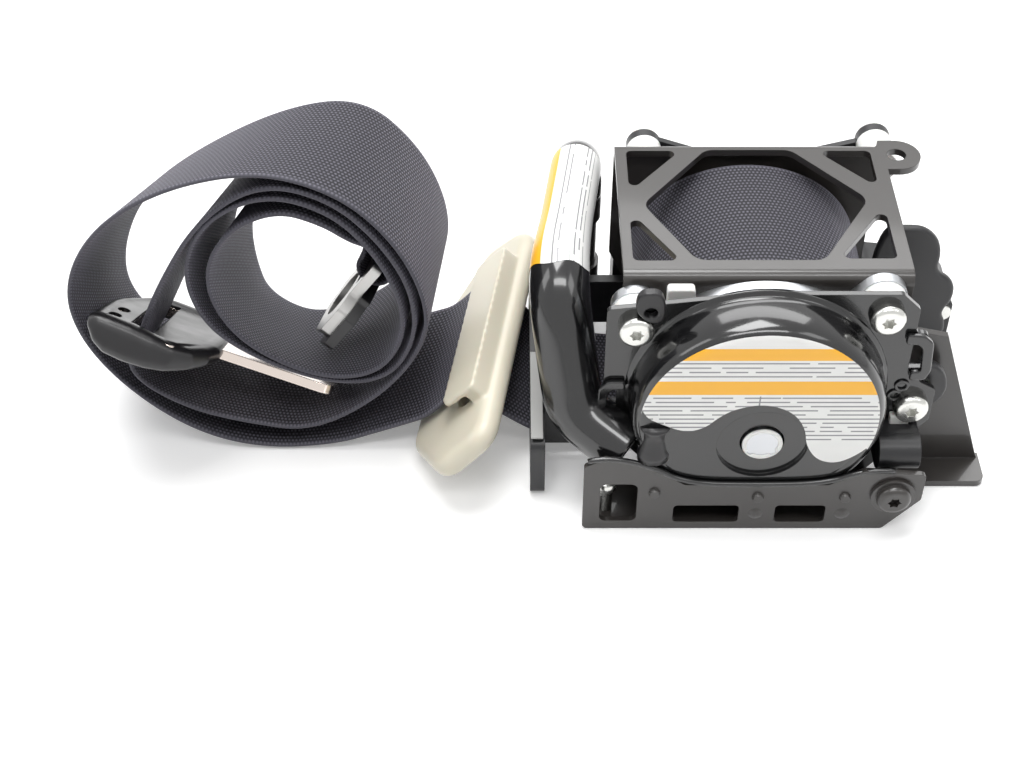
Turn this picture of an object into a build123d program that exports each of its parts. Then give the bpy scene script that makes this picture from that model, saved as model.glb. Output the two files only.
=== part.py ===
from build123d import *
import math
import os

# Seat belt assembly: a retractor with a ball-driven pretensioner, a pillar loop,
# a tongue and an end plate on one strap of webbing, which lies in a loose coil.
# Millimetres. X runs along the strap, Y across it, Z up from the surface it lies on.
# Y = 0 is the strap's centre plane. The whole is moved by the origin offsets at the end.

# Origin: middle of the whole box, on the surface it lies on
ORIGIN_X = 7.64
ORIGIN_Y = -1.6

# Webbing
WEB_W = 47.0
WEB_T = 1.2
PLY_GAP = 0.3

# Spool and its axis
SPOOL_X = 65.2
SPOOL_Z = 31.0
SPOOL_CORE_R = 11.0
ROLL_R = 27.3
FLANGE_R = 27.0
FLANGE_T = 1.8
FLANGE_GAP = 0.35
NECK_R = 9.0
RUN_FIT = 0.08
TORSION_R = 5.0

# Retractor frame, a steel channel with its back upward
STEEL_T = 2.0
FRAME_TOP = 69.0
FRAME_LEFT = 28.5
FRAME_RIGHT = 103.0
FRAME_FRONT = -28.5
FRAME_REAR = 29.5
FRAME_BEND = 3.4
WALL_FOOT = 5.0
WINDOW_FILLET = 4.5
STRUT_FILLET = 1.6
TAB_HOLE_R = 2.6
TAB_OUT = 3.4
TAB_Y = 23.4
TAB_R = 6.6
FOOT_RIGHT = 131.5
FOOT_TOP = 48.0
FOOT_LIP = 9.0

# Pretensioner
DISC_R = 36.5
DISC_T = 3.0
COVER_X = 64.0
COVER_Z = 38.0
COVER_R = 32.5
COVER_FACE = -51.5
COVER_T = 1.5
FLANGE_FACE = -38.0
SHOULDER_R = 5.5
HUB_RECESS_R = 12.0
HUB_HOLE_R = 5.8
WHEEL_R = 19.0
WHEEL_T = 9.0
BALL_R = 4.6
POCKETS = 11
TUBE_R = 7.0
TUBE_WALL = 1.6
TUBE_TOP = 62.0
GENERATOR_X = 19.0
GENERATOR_Y = 35.2

# Lower bracket in front
BRACKET_T = 1.5
BRACKET_LEFT = 19.0
SLOT_Z0 = 2.6
SLOT_H = 6.6

# Screws
SCREW_R = 2.5
HEAD_R = 4.6
HEAD_H = 3.2
SOCKET_R = 1.9
SCREW_AT = [(31.6, 60.0), (94.8, 64.0), (105.6, 32.6)]
BOLT_AT = (101.6, 13.6)
SPACER_R = 6.2

# Locking mechanism and return spring, behind the rear wall
TEETH = 24
RING_ROOT_R = 23.0
RING_TIP_R = 19.4
RING_OUT_R = 26.0
RING_T = 2.5
LOCK_HEAD_R = 18.6
LOCK_HEAD_T = 3.0
PAWL_T = 2.2
PAWL_SWING = 12.0
WHEEL_TEETH = 36
STEER_R = 21.0
STEER_T = 2.0
COVER_WALL = 1.6
MECH_DEPTH = 11.5
SPRING_DEPTH = 12.0
SPRING_COVER_R = 20.0
SENSOR_X = 117.0
SENSOR_BALL_R = 4.5
SENSOR_BALL_Z = 8.6
SENSOR_PLAY = 1.2
SENSOR_NOSE = 6.0
SENSOR_SCREW_AT = (128.8, 12.0)

# Webbing guide
GUIDE_X = 5.0
GUIDE_T = 4.0
GUIDE_Z = 20.0
GUIDE_FRONT = -41.0
GUIDE_REAR = 29.5
GUIDE_SLOT_Z = 3.0

# Pillar loop
LOOP_END = 20.0
LOOP_WIDTH = 35.0
LOOP_T = 7.0
LOOP_TILT = 48.0
LOOP_YAW = -8.5
LOOP_SLOT_EXTRA = 7.0
LOOP_SLOT_H = 6.0
LOOP_SLOT_IN = 11.0
LOOP_BOLT_R = 6.1
LOOP_EYE_IN = 9.0
LOOP_X = -10.6
LOOP_Y = -1.0
LOOP_Z = 15.5
LIP_Z = 6.9
LIP_T = 1.8
LIP_REACH = 14.5

# Tongue
TONGUE_TILT = 21.4
TONGUE_YAW = 3.4
TONGUE_ROLL = -34.0
BLADE_T = 2.6
BLADE_W = 24.0
BLADE_TIP = 57.8
HEAD_X0 = -9.0
HEAD_X1 = 21.0
HEAD_T = 7.0
HEAD_CUT = 8.0
BUMPER_W = 6.0
BUMPER_DROP = 6.5
TONGUE_SLOT_X = 4.7
TONGUE_SLOT_H = 7.0
TONGUE_SLOT_EXTRA = 2.2
TONGUE_AT = (-104.4, -5.5, 34.4)

# End plate with its sewn strap end; it hangs from its bar
PLATE_T = 3.0
PLATE_W = 27.0
PLATE_TIP = 11.0
PLATE_HOLE_R = 7.4
PLATE_HOLE_AT = 16.0
PLATE_DOWN = (-0.592, 0.0, -0.806)
PLATE_FACE = (0.78, -0.249, -0.573)
PLATE_COVER_T = 3.0
PLATE_COVER_RIM = 1.6
BAR_AT = (-36.1, -2.0, 52.2)
BAR_W = 7.0
SEWN_W = 22.0
SEWN_SHIFT = 6.0

# Strap route as corners on its middle layer, from the reel outwards. Each gives x and z of the near
# edge, then the far edge's shift in x and z, then the shift in y of the near and the far edge.
LEAD = [(43.0, 11.0), (35.0, 22.0), (32.6, 38.0), (40.0, 56.0), (56.0, 65.2), (75.0, 65.2), (91.0, 56.0),
        (99.0, 40.0), (98.0, 22.0), (87.0, 8.0), (70.0, 1.2), (50.0, 0.7), (30.0, 1.4), (17.0, 3.2),
        (7.2, 6.8, 1.0), (-5.9, 16.8, 7.0), (-14.2, 24.6, 7.0), (-23.3, 13.4, 7.0), (-28.6, 11.0, 5.6)]
OUTER = [(-28.6, 11.0, 5.6), (-38.0, 7.2, 3.0), (-50.0, 2.4), (-70.0, 0.7, -2.0, 0.0), (-88.0, 6.8, -2.0, -5.6),
         (-104.0, 22.0, -2.0, -14.0), (-115.0, 41.0, 1.0, -19.0), (-117.0, 60.0, 4.5, -22.0),
         (-107.0, 79.0, 3.0, -23.0), (-88.0, 92.6, 2.0, -21.6), (-63.0, 98.4, 3.0, -13.4),
         (-43.0, 91.0, 3.0, -3.4), (-30.0, 76.0, 3.6, -3.0), (-23.0, 58.0, 4.0, -3.0),
         (-22.6, 42.0, 4.2, -4.0), (-35.0, 22.2, 6.4, -7.0), (-56.0, 7.4, 6.0, -4.2),
         (-74.0, 10.8, 4.0, -6.8), (-91.0, 18.6, 2.0, -12.0, -1.5, -4.0),
         (-104.4, 34.6, -1.0, -21.0, -4.0, -11.0), (-98.9, 46.1, -2.3, -26.4, -2.2, -10.4)]
INNER = [(-98.9, 46.1, -2.3, -26.4, -2.2, -10.4), (-91.6, 62.5, 1.0, -22.0, -1.0, -5.0),
         (-79.0, 83.0, 3.0, -19.5), (-62.0, 94.6, 3.0, -13.6), (-45.0, 89.0, 3.0, -4.6),
         (-33.2, 75.0, 3.6, -3.4), (-26.2, 59.0, 4.0, -3.2), (-25.8, 42.0, 4.4, -3.6),
         (-34.0, 27.4, 6.4, -7.0), (-50.0, 26.0, -4.0, -18.6), (-70.0, 36.0, -4.0, -24.0),
         (-82.0, 48.0, 2.0, -21.0), (-85.5, 66.0, 4.5, -22.0), (-78.5, 82.0, 4.5, -20.0),
         (-62.0, 91.2, 3.0, -13.8), (-46.0, 85.6, 3.0, -5.0), (-35.8, 73.0, 3.6, -3.6),
         (-29.4, 57.0, 3.8, -3.2), (-28.8, 42.5, 4.2, -3.4), (-37.0, 31.4, 4.6, -6.8),
         (-52.0, 30.2, -4.0, -20.4), (-70.0, 40.4, -2.0, -22.0), (-78.6, 53.0, 3.4, -20.0),
         (-79.4, 67.0, 4.6, -19.0), (-72.0, 79.6, 3.4, -17.0), (-59.0, 86.0, 3.0, -11.4),
         (-48.0, 81.6, 2.4, -5.2), (-41.6, 74.5, 2.4, -4.6, 2.0, -1.0),
         (-38.0, 67.0, 3.0, -3.6, 9.0, -4.0), (-37.6, 59.6, 4.0, -3.2, 16.5, -8.5)]


def slab(points, y0, y1):
    """A plate in the XZ plane between two Y positions."""
    face = make_face(Polyline(*[(x, z) for x, z in points], close=True))
    return extrude(Plane.XZ * face, -(y1 - y0)).moved(Location((0, y0, 0)))


def rounded(points, radius, y0, y1):
    """A plate like slab, with every corner rounded."""
    face = make_face(FilletPolyline(*points, radius=radius, close=True))
    return extrude(Plane.XZ * face, -(y1 - y0)).moved(Location((0, y0, 0)))


def disc(x, z, radius, y0, y1):
    """A round bar along Y between two Y positions."""
    bar = Cylinder(radius, y1 - y0, rotation=(90, 0, 0))
    return bar.moved(Location((x, (y0 + y1) / 2, z)))


def block(x0, x1, y0, y1, z0, z1):
    """A box from its limits."""
    solid = Box(x1 - x0, y1 - y0, z1 - z0)
    return solid.moved(Location(((x0 + x1) / 2, (y0 + y1) / 2, (z0 + z1) / 2)))


def smooth(corners, share=4):
    """Points along a smooth line that rounds every corner of a route."""
    points = [Vector(*corner) for corner in corners]
    line = [points[0]]
    for i in range(1, len(points) - 1):
        start = points[0] if i == 1 else (points[i - 1] + points[i]) * 0.5
        end = points[-1] if i == len(points) - 2 else (points[i] + points[i + 1]) * 0.5
        for k in range(1, share + 1):
            t = k / share
            line.append(start * (1 - t) ** 2 + points[i] * (2 * t * (1 - t)) + end * t ** 2)
    return line





def strap_edges(route, width=WEB_W):
    """The near and the far edge of a strap, from its route."""
    full = [tuple(corner) + (0.0,) * (6 - len(corner)) for corner in route]
    near = smooth([(x, -width / 2 + dn, z) for x, z, dx, dz, dn, df in full])
    far = smooth([(x + dx, width / 2 + df, z + dz) for x, z, dx, dz, dn, df in full])
    return near, far


def ribbon(route, thick=WEB_T):
    """A strap along a route, ruled from section to section."""
    near, far = strap_edges(route)
    sections = []
    for i in range(len(near)):
        before, after = max(i - 1, 0), min(i + 1, len(near) - 1)
        along = near[after] + far[after] - near[before] - far[before]
        up = (far[i] - near[i]).cross(along).normalized() * (thick / 2)
        loop = Polyline(near[i] + up, far[i] + up, far[i] - up, near[i] - up, close=True)
        sections.append(make_face(loop))
    return loft(sections, ruled=True)


def spool_disc(radius, y0, y1):
    """A round bar on the spool's axis."""
    return disc(SPOOL_X, SPOOL_Z, radius, y0, y1)


def star(count, tip, root, lean=0.5):
    """Saw-tooth outline about the spool's axis, in the XZ plane."""
    points = []
    for i in range(count):
        a = 2 * math.pi * i / count
        b = 2 * math.pi * (i + lean) / count
        points.append((SPOOL_X + tip * math.cos(a), SPOOL_Z + tip * math.sin(a)))
        points.append((SPOOL_X + root * math.cos(b), SPOOL_Z + root * math.sin(b)))
    return points


# Retractor frame
TAB_X = FRAME_RIGHT + TAB_OUT
FLANGE_FRONT = -WEB_W / 2 - FLANGE_GAP - FLANGE_T
FLANGE_REAR = WEB_W / 2 + FLANGE_GAP + FLANGE_T
WALL_IN_FRONT = FRAME_FRONT + STEEL_T
WALL_IN_REAR = FRAME_REAR - STEEL_T


def window(points, radius):
    """An opening through the channel's back, given by (x, y) corners."""
    face = make_face(FilletPolyline(*points, radius=radius, close=True))
    cut = extrude(face, 3 * STEEL_T, both=True)
    return cut.moved(Location((0, 0, FRAME_TOP - STEEL_T / 2)))


def retractor_frame():
    """Channel with a windowed back, two side walls, a rounded tab and a slanted foot."""
    width = FRAME_REAR - FRAME_FRONT
    outer = block(FRAME_LEFT, FRAME_RIGHT, FRAME_FRONT, FRAME_REAR, 0, FRAME_TOP)
    outer = fillet(outer.edges().filter_by(Axis.X).group_by(Axis.Z)[-1], FRAME_BEND)
    inner = block(FRAME_LEFT - 1, FRAME_RIGHT + 1, WALL_IN_FRONT, WALL_IN_REAR, -1, FRAME_TOP - STEEL_T)
    inner = fillet(inner.edges().filter_by(Axis.X).group_by(Axis.Z)[-1], FRAME_BEND - STEEL_T)
    frame = outer - inner
    span = FRAME_RIGHT - FRAME_LEFT
    keep = [(FRAME_LEFT, FRAME_TOP), (FRAME_RIGHT, FRAME_TOP), (FRAME_RIGHT, WALL_FOOT),
            (FRAME_LEFT + 0.16 * span, WALL_FOOT), (FRAME_LEFT, WALL_FOOT + 26)]
    frame = frame & slab(keep, FRAME_FRONT - 1, FRAME_REAR + 1)
    hexagon = [(35.0, 1.2), (53.7, 25.6), (77.1, 25.6), (95.6, 3.4), (80.6, -22.0), (47.6, -22.0)]
    frame -= window(hexagon, WINDOW_FILLET)
    for corner in ([(31.6, 25.2), (46.6, 25.2), (31.6, 6.6)],
                   [(31.2, -1.6), (43.6, -22.2), (31.2, -22.2)],
                   [(84.2, 25.2), (99.2, 25.2), (99.2, 8.4)],
                   [(99.4, 0.4), (99.4, -21.4), (84.4, -21.4)]):
        frame -= window(corner, STRUT_FILLET)
    tab = block(FRAME_RIGHT - 1, TAB_X, TAB_Y - TAB_R, TAB_Y + TAB_R, FRAME_TOP - STEEL_T, FRAME_TOP)
    nose = Cylinder(TAB_R, STEEL_T).moved(Location((TAB_X, TAB_Y, FRAME_TOP - STEEL_T / 2)))
    hole = Cylinder(TAB_HOLE_R, 3 * STEEL_T).moved(Location((TAB_X, TAB_Y, FRAME_TOP)))
    frame = frame + tab + nose - hole
    frame -= spool_disc(NECK_R + RUN_FIT, FRAME_FRONT - 1, WALL_IN_FRONT + 1)
    frame -= spool_disc(RING_TIP_R - 0.4, WALL_IN_REAR - 1, FRAME_REAR + 1)
    foot = slab([(FRAME_RIGHT - 1, FOOT_TOP + 3), (FRAME_RIGHT + 12, FOOT_TOP), (FOOT_RIGHT, 0),
                 (FRAME_RIGHT + 3, 0), (FRAME_RIGHT - 1, WALL_FOOT)], FRAME_FRONT, WALL_IN_FRONT)
    lip = block(FRAME_RIGHT + 5, FOOT_RIGHT, FRAME_FRONT - FOOT_LIP, WALL_IN_FRONT, 0, STEEL_T)
    lip = fillet(lip.edges().filter_by(Axis.Z).group_by(Axis.Y)[0], 2.5)
    return frame + foot + lip


def spool():
    """Reel with two flanges, a neck through the front wall and a hollow core."""
    body = spool_disc(SPOOL_CORE_R, FLANGE_FRONT, FLANGE_REAR)
    body += spool_disc(FLANGE_R, FLANGE_FRONT, FLANGE_FRONT + FLANGE_T)
    body += spool_disc(FLANGE_R, FLANGE_REAR - FLANGE_T, FLANGE_REAR)
    body += spool_disc(NECK_R, FRAME_FRONT - DISC_T - 0.3, FLANGE_FRONT)
    return body - spool_disc(TORSION_R, -60, 60)


def wound_webbing():
    """The wound strap, a plain ring between the reel's flanges."""
    return spool_disc(ROLL_R, -WEB_W / 2, WEB_W / 2) - spool_disc(SPOOL_CORE_R, -WEB_W, WEB_W)


def torsion_bar():
    """Round bar through the reel, with a larger keyed head at the rear."""
    bar = spool_disc(TORSION_R, FRAME_FRONT - DISC_T - 0.3, FLANGE_REAR)
    head = spool_disc(TORSION_R + 2.4, FLANGE_REAR, FRAME_REAR + 0.6)
    flats = block(SPOOL_X - 12, SPOOL_X - 5.4, 20, 40, SPOOL_Z - 12, SPOOL_Z + 12)
    return bar + (head - flats)


def base_disc():
    """Round die-cast plate between the front wall and the drum cover, with screw lugs."""
    y0 = FRAME_FRONT - DISC_T
    plate = spool_disc(DISC_R, y0, FRAME_FRONT)
    for x, z in SCREW_AT:
        plate += disc(x, z, SPACER_R, y0, FRAME_FRONT)
        out = Vector(x - SPOOL_X, z - SPOOL_Z).normalized()
        side = Vector(-out.Y, out.X) * SPACER_R
        mid = Vector(SPOOL_X, SPOOL_Z) + out * (DISC_R - 8)
        corners = [mid + side, mid - side, Vector(x, z) - side, Vector(x, z) + side]
        plate += slab([(c.X, c.Y) for c in corners], y0, FRAME_FRONT)
    plate -= block(-200, 200, y0 - 1, FRAME_FRONT + 1, -60, 3.0)
    for x, z in SCREW_AT:
        plate -= disc(x, z, SCREW_R, y0 - 1, FRAME_FRONT + 1)
    return plate - spool_disc(NECK_R + RUN_FIT, y0 - 1, FRAME_FRONT + 1)


def screw_spacers():
    """White plastic rings round the three screws, between disc and cover."""
    y0 = FLANGE_FACE + COVER_T
    rings = []
    for x, z in SCREW_AT:
        ring = disc(x, z, SPACER_R - 0.4, y0, FRAME_FRONT - DISC_T)
        rings.append(ring - disc(x, z, SCREW_R, y0 - 1, FRAME_FRONT))
    return Part() + rings


def drive_wheel():
    """Wheel on the reel's neck, with a ring of round pockets that the balls push."""
    y0 = FRAME_FRONT - DISC_T - 0.3 - WHEEL_T
    wheel = spool_disc(WHEEL_R, y0, y0 + WHEEL_T)
    for i in range(POCKETS):
        a = 2 * math.pi * i / POCKETS
        x = SPOOL_X + (WHEEL_R + 1.0) * math.cos(a)
        z = SPOOL_Z + (WHEEL_R + 1.0) * math.sin(a)
        pocket = Sphere(BALL_R).moved(Location((x, y0 + WHEEL_T / 2, z)))
        wheel -= pocket
    hub = spool_disc(HUB_HOLE_R - 0.6, COVER_FACE + 0.4, y0)
    return wheel + hub


def drum_cover():
    """Pressed cover: flat drum face with a rounded shoulder, flange, hooks and hub recess."""
    back = FLANGE_FACE
    drum = disc(COVER_X, COVER_Z, COVER_R, COVER_FACE, back + COVER_T)
    drum = fillet(drum.edges().group_by(Axis.Y)[0], SHOULDER_R)
    flange = rounded([(24, 26), (24, 66), (62, 71), (98, 71), (103, 66), (103, 58), (106.5, 58), (106.5, 41),
                      (111.5, 38), (111.5, 27), (96, 6), (40, 6)], 1.5, back, back + COVER_T)
    shell = drum + flange
    hollow = disc(COVER_X, COVER_Z, COVER_R - COVER_T, COVER_FACE + COVER_T, back + 2 * COVER_T)
    hollow = fillet(hollow.edges().group_by(Axis.Y)[0], SHOULDER_R - COVER_T)
    recess = disc(SPOOL_X, SPOOL_Z, HUB_RECESS_R, COVER_FACE, COVER_FACE + 1.2)
    floor = disc(SPOOL_X, SPOOL_Z, HUB_RECESS_R + 1.2, COVER_FACE + 1.2, COVER_FACE + 2.7)
    shell = shell - hollow - recess + floor
    shell -= disc(SPOOL_X, SPOOL_Z, HUB_HOLE_R, COVER_FACE - 1, COVER_FACE + 4)
    for x, z in SCREW_AT:
        shell -= disc(x, z, SCREW_R, back - 1, back + 2 * COVER_T)
    shell -= block(103, 108, back - 1, back + 3, 46, 54)
    shell -= block(20, 27.5, back - 1, back + 3, 29, 38)
    inlet = tube_solid(TUBE_R)
    return shell - inlet


def tube_route():
    """Middle line of the ball tube, from the gas generator to the drum."""
    return [(GENERATOR_X, GENERATOR_Y, 47.0), (GENERATOR_X, GENERATOR_Y, TUBE_TOP),
            (11.6, -21.0, TUBE_TOP), (16.6, -35.0, 28.0), (31.0, -44.0, 21.5)]


TUBE_BENDS = [9.5, 16.0, 12.0]


def tube_line():
    """The tube's middle line with its three bends."""
    return FilletPolyline(*tube_route(), radius=TUBE_BENDS)


def tube_solid(radius):
    """A round bar along the tube's route."""
    line = tube_line()
    profile = Plane(origin=line @ 0, z_dir=line % 0) * Circle(radius)
    return sweep(profile, path=line)


def ball_tube():
    """Bent steel tube that leads the balls from the gas generator into the drum."""
    return tube_solid(TUBE_R) - tube_solid(TUBE_R - TUBE_WALL)


def along_tube(distance):
    """A point on the tube's middle line, at a distance from its lower rear end."""
    at = tube_line().position_at(distance, position_mode=PositionMode.LENGTH)
    return Location((at.X, at.Y, at.Z))


def drive_balls():
    """Aluminium balls waiting in the tube."""
    pitch = 2 * BALL_R + 0.1
    count = int((tube_line().length - 28.0) / pitch)
    return Part() + [Sphere(BALL_R).moved(along_tube(13.0 + pitch * i)) for i in range(count)]


def tube_seal():
    """Sealing plug between the gas generator and the balls."""
    plug = Cylinder(TUBE_R - TUBE_WALL - 0.1, 4.0)
    return plug.moved(along_tube(5.2))


def gas_generator():
    """Stepped cartridge under the tube's rear end, with a collar and a connector base."""
    x, y = GENERATOR_X, GENERATOR_Y
    steps = [(6.4, 0.0, 9.0), (7.0, 9.0, 22.0), (6.0, 22.0, 39.0), (7.0, 39.0, 47.0)]
    solid = None
    for radius, z0, z1 in steps:
        bar = Cylinder(radius, z1 - z0).moved(Location((x, y, (z0 + z1) / 2)))
        solid = bar if solid is None else solid + bar
    tail = Cylinder(TUBE_R - TUBE_WALL - 0.05, 3.0).moved(Location((x, y, 48.5)))
    return solid + tail


def lower_bracket():
    """Slotted plate across the front, with a floor flange, pressed ribs and a corner window."""
    y0 = COVER_FACE - BRACKET_T
    plate = rounded([(BRACKET_LEFT, 0), (100.5, 0), (109.5, 11.5), (109.5, 21.0), (93.0, 22.5),
                     (84.0, 17.2), (46.0, 17.2), (36.0, 24.0), (24.5, 27.0), (BRACKET_LEFT, 24.0)],
                    1.5, y0, COVER_FACE)
    plate -= rounded([(23.5, 3.0), (33.5, 3.0), (33.5, 17.5), (23.5, 17.5)], 2.0, y0 - 1, COVER_FACE + 1)
    for x0, x1 in ((43.4, 61.1), (70.8, 84.4)):
        plate -= rounded([(x0, SLOT_Z0), (x1, SLOT_Z0), (x1, SLOT_Z0 + SLOT_H), (x0, SLOT_Z0 + SLOT_H)],
                         1.2, y0 - 1, COVER_FACE + 1)
    floor = block(BRACKET_LEFT + 2, 99.0, COVER_FACE, -33.0, 0, BRACKET_T)
    plate -= disc(BOLT_AT[0], BOLT_AT[1], SCREW_R, y0 - 1, COVER_FACE + 1)
    for x, z in ((38.0, 14.3), (65.7, 12.6), (89.0, 12.6)):
        plate += Sphere(1.6).moved(Location((x, y0, z))) & block(x - 2, x + 2, y0 - 1, y0 + 1, z - 2, z + 2)
    for x in (65.7, 89.0):
        rib = Sphere(3.0).moved(Location((x, y0 + 2.2, 6.0)))
        plate += rib & block(x - 4, x + 4, y0 - 1.2, y0 + 0.5, 1.0, 11.0)
    return plate + floor


def cover_clamp():
    """Half-round clamp on the cover's lower right edge."""
    bar = Cylinder(5.0, 11.0, rotation=(0, 90, 0)).moved(Location((102.5, FLANGE_FACE - 7.0, 22.6)))
    seat = block(97, 108, FLANGE_FACE - 7.0, FLANGE_FACE, 17.8, 27.4)
    return bar + seat


def screw(x, z, face, reach):
    """Pan-head screw along Y with a star socket; the head's seat is at face."""
    head = disc(x, z, HEAD_R, face - HEAD_H, face)
    head = fillet(head.edges().group_by(Axis.Y)[0], 1.6)
    socket = make_face(Polyline(*star_points(x, z, SOCKET_R), close=True))
    cut = extrude(Plane.XZ * socket, 1.6).moved(Location((0, face - HEAD_H + 1.6, 0)))
    return head + disc(x, z, SCREW_R, face, reach) - cut


def star_points(x, z, radius):
    """Six-lobed socket outline."""
    points = []
    for i in range(12):
        r = radius if i % 2 == 0 else 0.68 * radius
        a = math.pi * i / 6
        points.append((x + r * math.cos(a), z + r * math.sin(a)))
    return points


def cover_screws():
    """The three zinc-plated screws through the cover's flange."""
    return Part() + [screw(x, z, FLANGE_FACE, FRAME_FRONT) for x, z in SCREW_AT]


def bracket_bolt():
    """Black flanged bolt at the bracket's lower right."""
    x, z = BOLT_AT
    face = COVER_FACE - BRACKET_T
    body = screw(x, z, face, FLANGE_FACE)
    return body + (disc(x, z, HEAD_R + 1.4, face - 1.0, face) - disc(x, z, SOCKET_R, face - 2, face))


def lock_ring():
    """Ring with inward saw teeth on the rear wall, which the locking pawl bites."""
    ring = spool_disc(RING_OUT_R, FRAME_REAR, FRAME_REAR + RING_T)
    teeth = star(TEETH, RING_ROOT_R, RING_TIP_R, 0.85)
    return ring - slab(teeth, FRAME_REAR - 1, FRAME_REAR + RING_T + 1)


LOCK_Y0 = FRAME_REAR + 0.6
PAWL_PIVOT = (SPOOL_X - 0.5, SPOOL_Z + 13.5)
PAWL_PIN_R = 1.5


def lock_head():
    """Disc on the reel's rear end that carries the pawl in a shallow seat."""
    y1 = LOCK_Y0 + LOCK_HEAD_T
    head = spool_disc(LOCK_HEAD_R, LOCK_Y0, y1)
    head += spool_disc(NECK_R - 3.0, y1, FRAME_REAR + MECH_DEPTH + 1.0)
    seat = [(-20, 6.6), (-9.4, 6.6), (3.6, 10.6), (3.6, 17.2), (-2, 20), (-20, 20)]
    head -= slab([(SPOOL_X + x, SPOOL_Z + z) for x, z in seat], y1 - PAWL_T, y1 + 0.1)
    return head + disc(PAWL_PIVOT[0], PAWL_PIVOT[1], PAWL_PIN_R, y1 - PAWL_T, y1 + 0.4)


def locking_pawl():
    """Toothed lever in the lock head, which swings out to the toothed ring."""
    y1 = LOCK_Y0 + LOCK_HEAD_T
    outline = [(-14.6, 7.2), (-9.6, 7.2), (2.6, 11.3), (2.6, 16.5), (-4.2, 16.5), (-14.6, 10.5)]
    body = slab([(SPOOL_X + x, SPOOL_Z + z) for x, z in outline], y1 - PAWL_T + 0.1, y1)
    return body - disc(PAWL_PIVOT[0], PAWL_PIVOT[1], PAWL_PIN_R + RUN_FIT, y1 - PAWL_T, y1 + 1)


def steering_wheel():
    """Thin toothed wheel on the lock head that the sensor lever can stop."""
    y0 = FRAME_REAR + RING_T + 2.0
    teeth = star(WHEEL_TEETH, STEER_R, STEER_R - 2.2, 0.2)
    wheel = slab(teeth, y0, y0 + STEER_T)
    return wheel - spool_disc(NECK_R - 3.0, y0 - 1, y0 + STEER_T + 1)


MECH_Y0 = FRAME_REAR
MECH_Y1 = FRAME_REAR + MECH_DEPTH
MECH_OUTLINE = [(34.0, 0.0), (132.0, 0.0), (132.0, 14.0), (126.0, 21.5), (104.0, 24.0), (101.0, 48.0),
                (101.0, 58.0), (44.0, 57.0), (30.0, 46.0), (30.0, 6.0)]


def mechanism_cover():
    """Moulded cover over the locking mechanism and the sensor, open towards the rear wall."""
    shell = rounded(MECH_OUTLINE, 4.0, MECH_Y0, MECH_Y1)
    nose = [(FRAME_RIGHT + 3, 0), (132, 0), (132, 14), (126, 21.5), (FRAME_RIGHT + 3, 23)]
    shell += rounded(nose, 2.5, MECH_Y0 - SENSOR_NOSE, MECH_Y0 + 1)
    pocket = disc(SPOOL_X, SPOOL_Z, RING_OUT_R + 0.3, MECH_Y0 - 1, MECH_Y1 - COVER_WALL)
    shell -= pocket
    sensor = block(SENSOR_X - 9, SENSOR_X + 9, MECH_Y0 - SENSOR_NOSE + COVER_WALL, MECH_Y1 - COVER_WALL, 2.0, 20.0)
    link = block(SPOOL_X + 10, SENSOR_X - 8, MECH_Y0 - 1, MECH_Y1 - COVER_WALL, 9.0, 20.0)
    for x, z in REAR_BOSSES:
        shell -= disc(x, z, BOSS_R, MECH_Y0 - 1, MECH_Y1 + 1)
    x, z = SENSOR_SCREW_AT
    shell = shell - disc(x, z, 1.4, MECH_Y0 - SENSOR_NOSE - 1, MECH_Y0 + 6.0)
    return shell - sensor - link - spool_disc(NECK_R - 2.6, MECH_Y1 - 3, MECH_Y1 + 1)


def spring_cover():
    """Round cup over the return spring, with two eared bosses."""
    y0, y1 = MECH_Y1, MECH_Y1 + SPRING_DEPTH
    cup = spool_disc(SPRING_COVER_R, y0, y1)
    cup = fillet(cup.edges().group_by(Axis.Y)[-1], 2.0)
    cup -= spool_disc(SPRING_COVER_R - COVER_WALL, y0 - 1, y1 - COVER_WALL)
    top = SPOOL_Z + SPRING_COVER_R
    for x, z in REAR_BOSSES:
        ear = disc(x, z, BOSS_R, y0, y0 + BOSS_T)
        arm = slab([(x - 4, z - 3), (x + 4, z + 3), (SPOOL_X + 3, top + 1), (SPOOL_X - 3, top - 2)],
                   y0, y0 + BOSS_T - 1.0)
        cup += (ear + arm) - spool_disc(SPRING_COVER_R - COVER_WALL, y0 - 1, y1 - COVER_WALL)
        cup -= disc(x, z, BOSS_PIN_R, y0 - 1, y0 + BOSS_T + 1)
    return cup


REAR_BOSSES = [(38.0, 58.0), (104.0, 60.0)]
BOSS_R = 5.0
BOSS_T = 3.0
BOSS_PIN_R = 1.5


def spring_arbor():
    """Slotted arbor on the reel's end that winds the return spring."""
    y0 = FRAME_REAR + MECH_DEPTH + 1.0
    arbor = spool_disc(4.5, y0, MECH_Y1 + SPRING_DEPTH - COVER_WALL - 0.4)
    return arbor


def return_spring():
    """Flat spiral spring, drawn as its wound ring."""
    y0 = MECH_Y1 + 0.8
    y1 = MECH_Y1 + SPRING_DEPTH - COVER_WALL - 0.8
    outer = SPRING_COVER_R - COVER_WALL
    return spool_disc(outer, y0, y1) - spool_disc(outer - 9.0, y0 - 1, y1 + 1)


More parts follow.
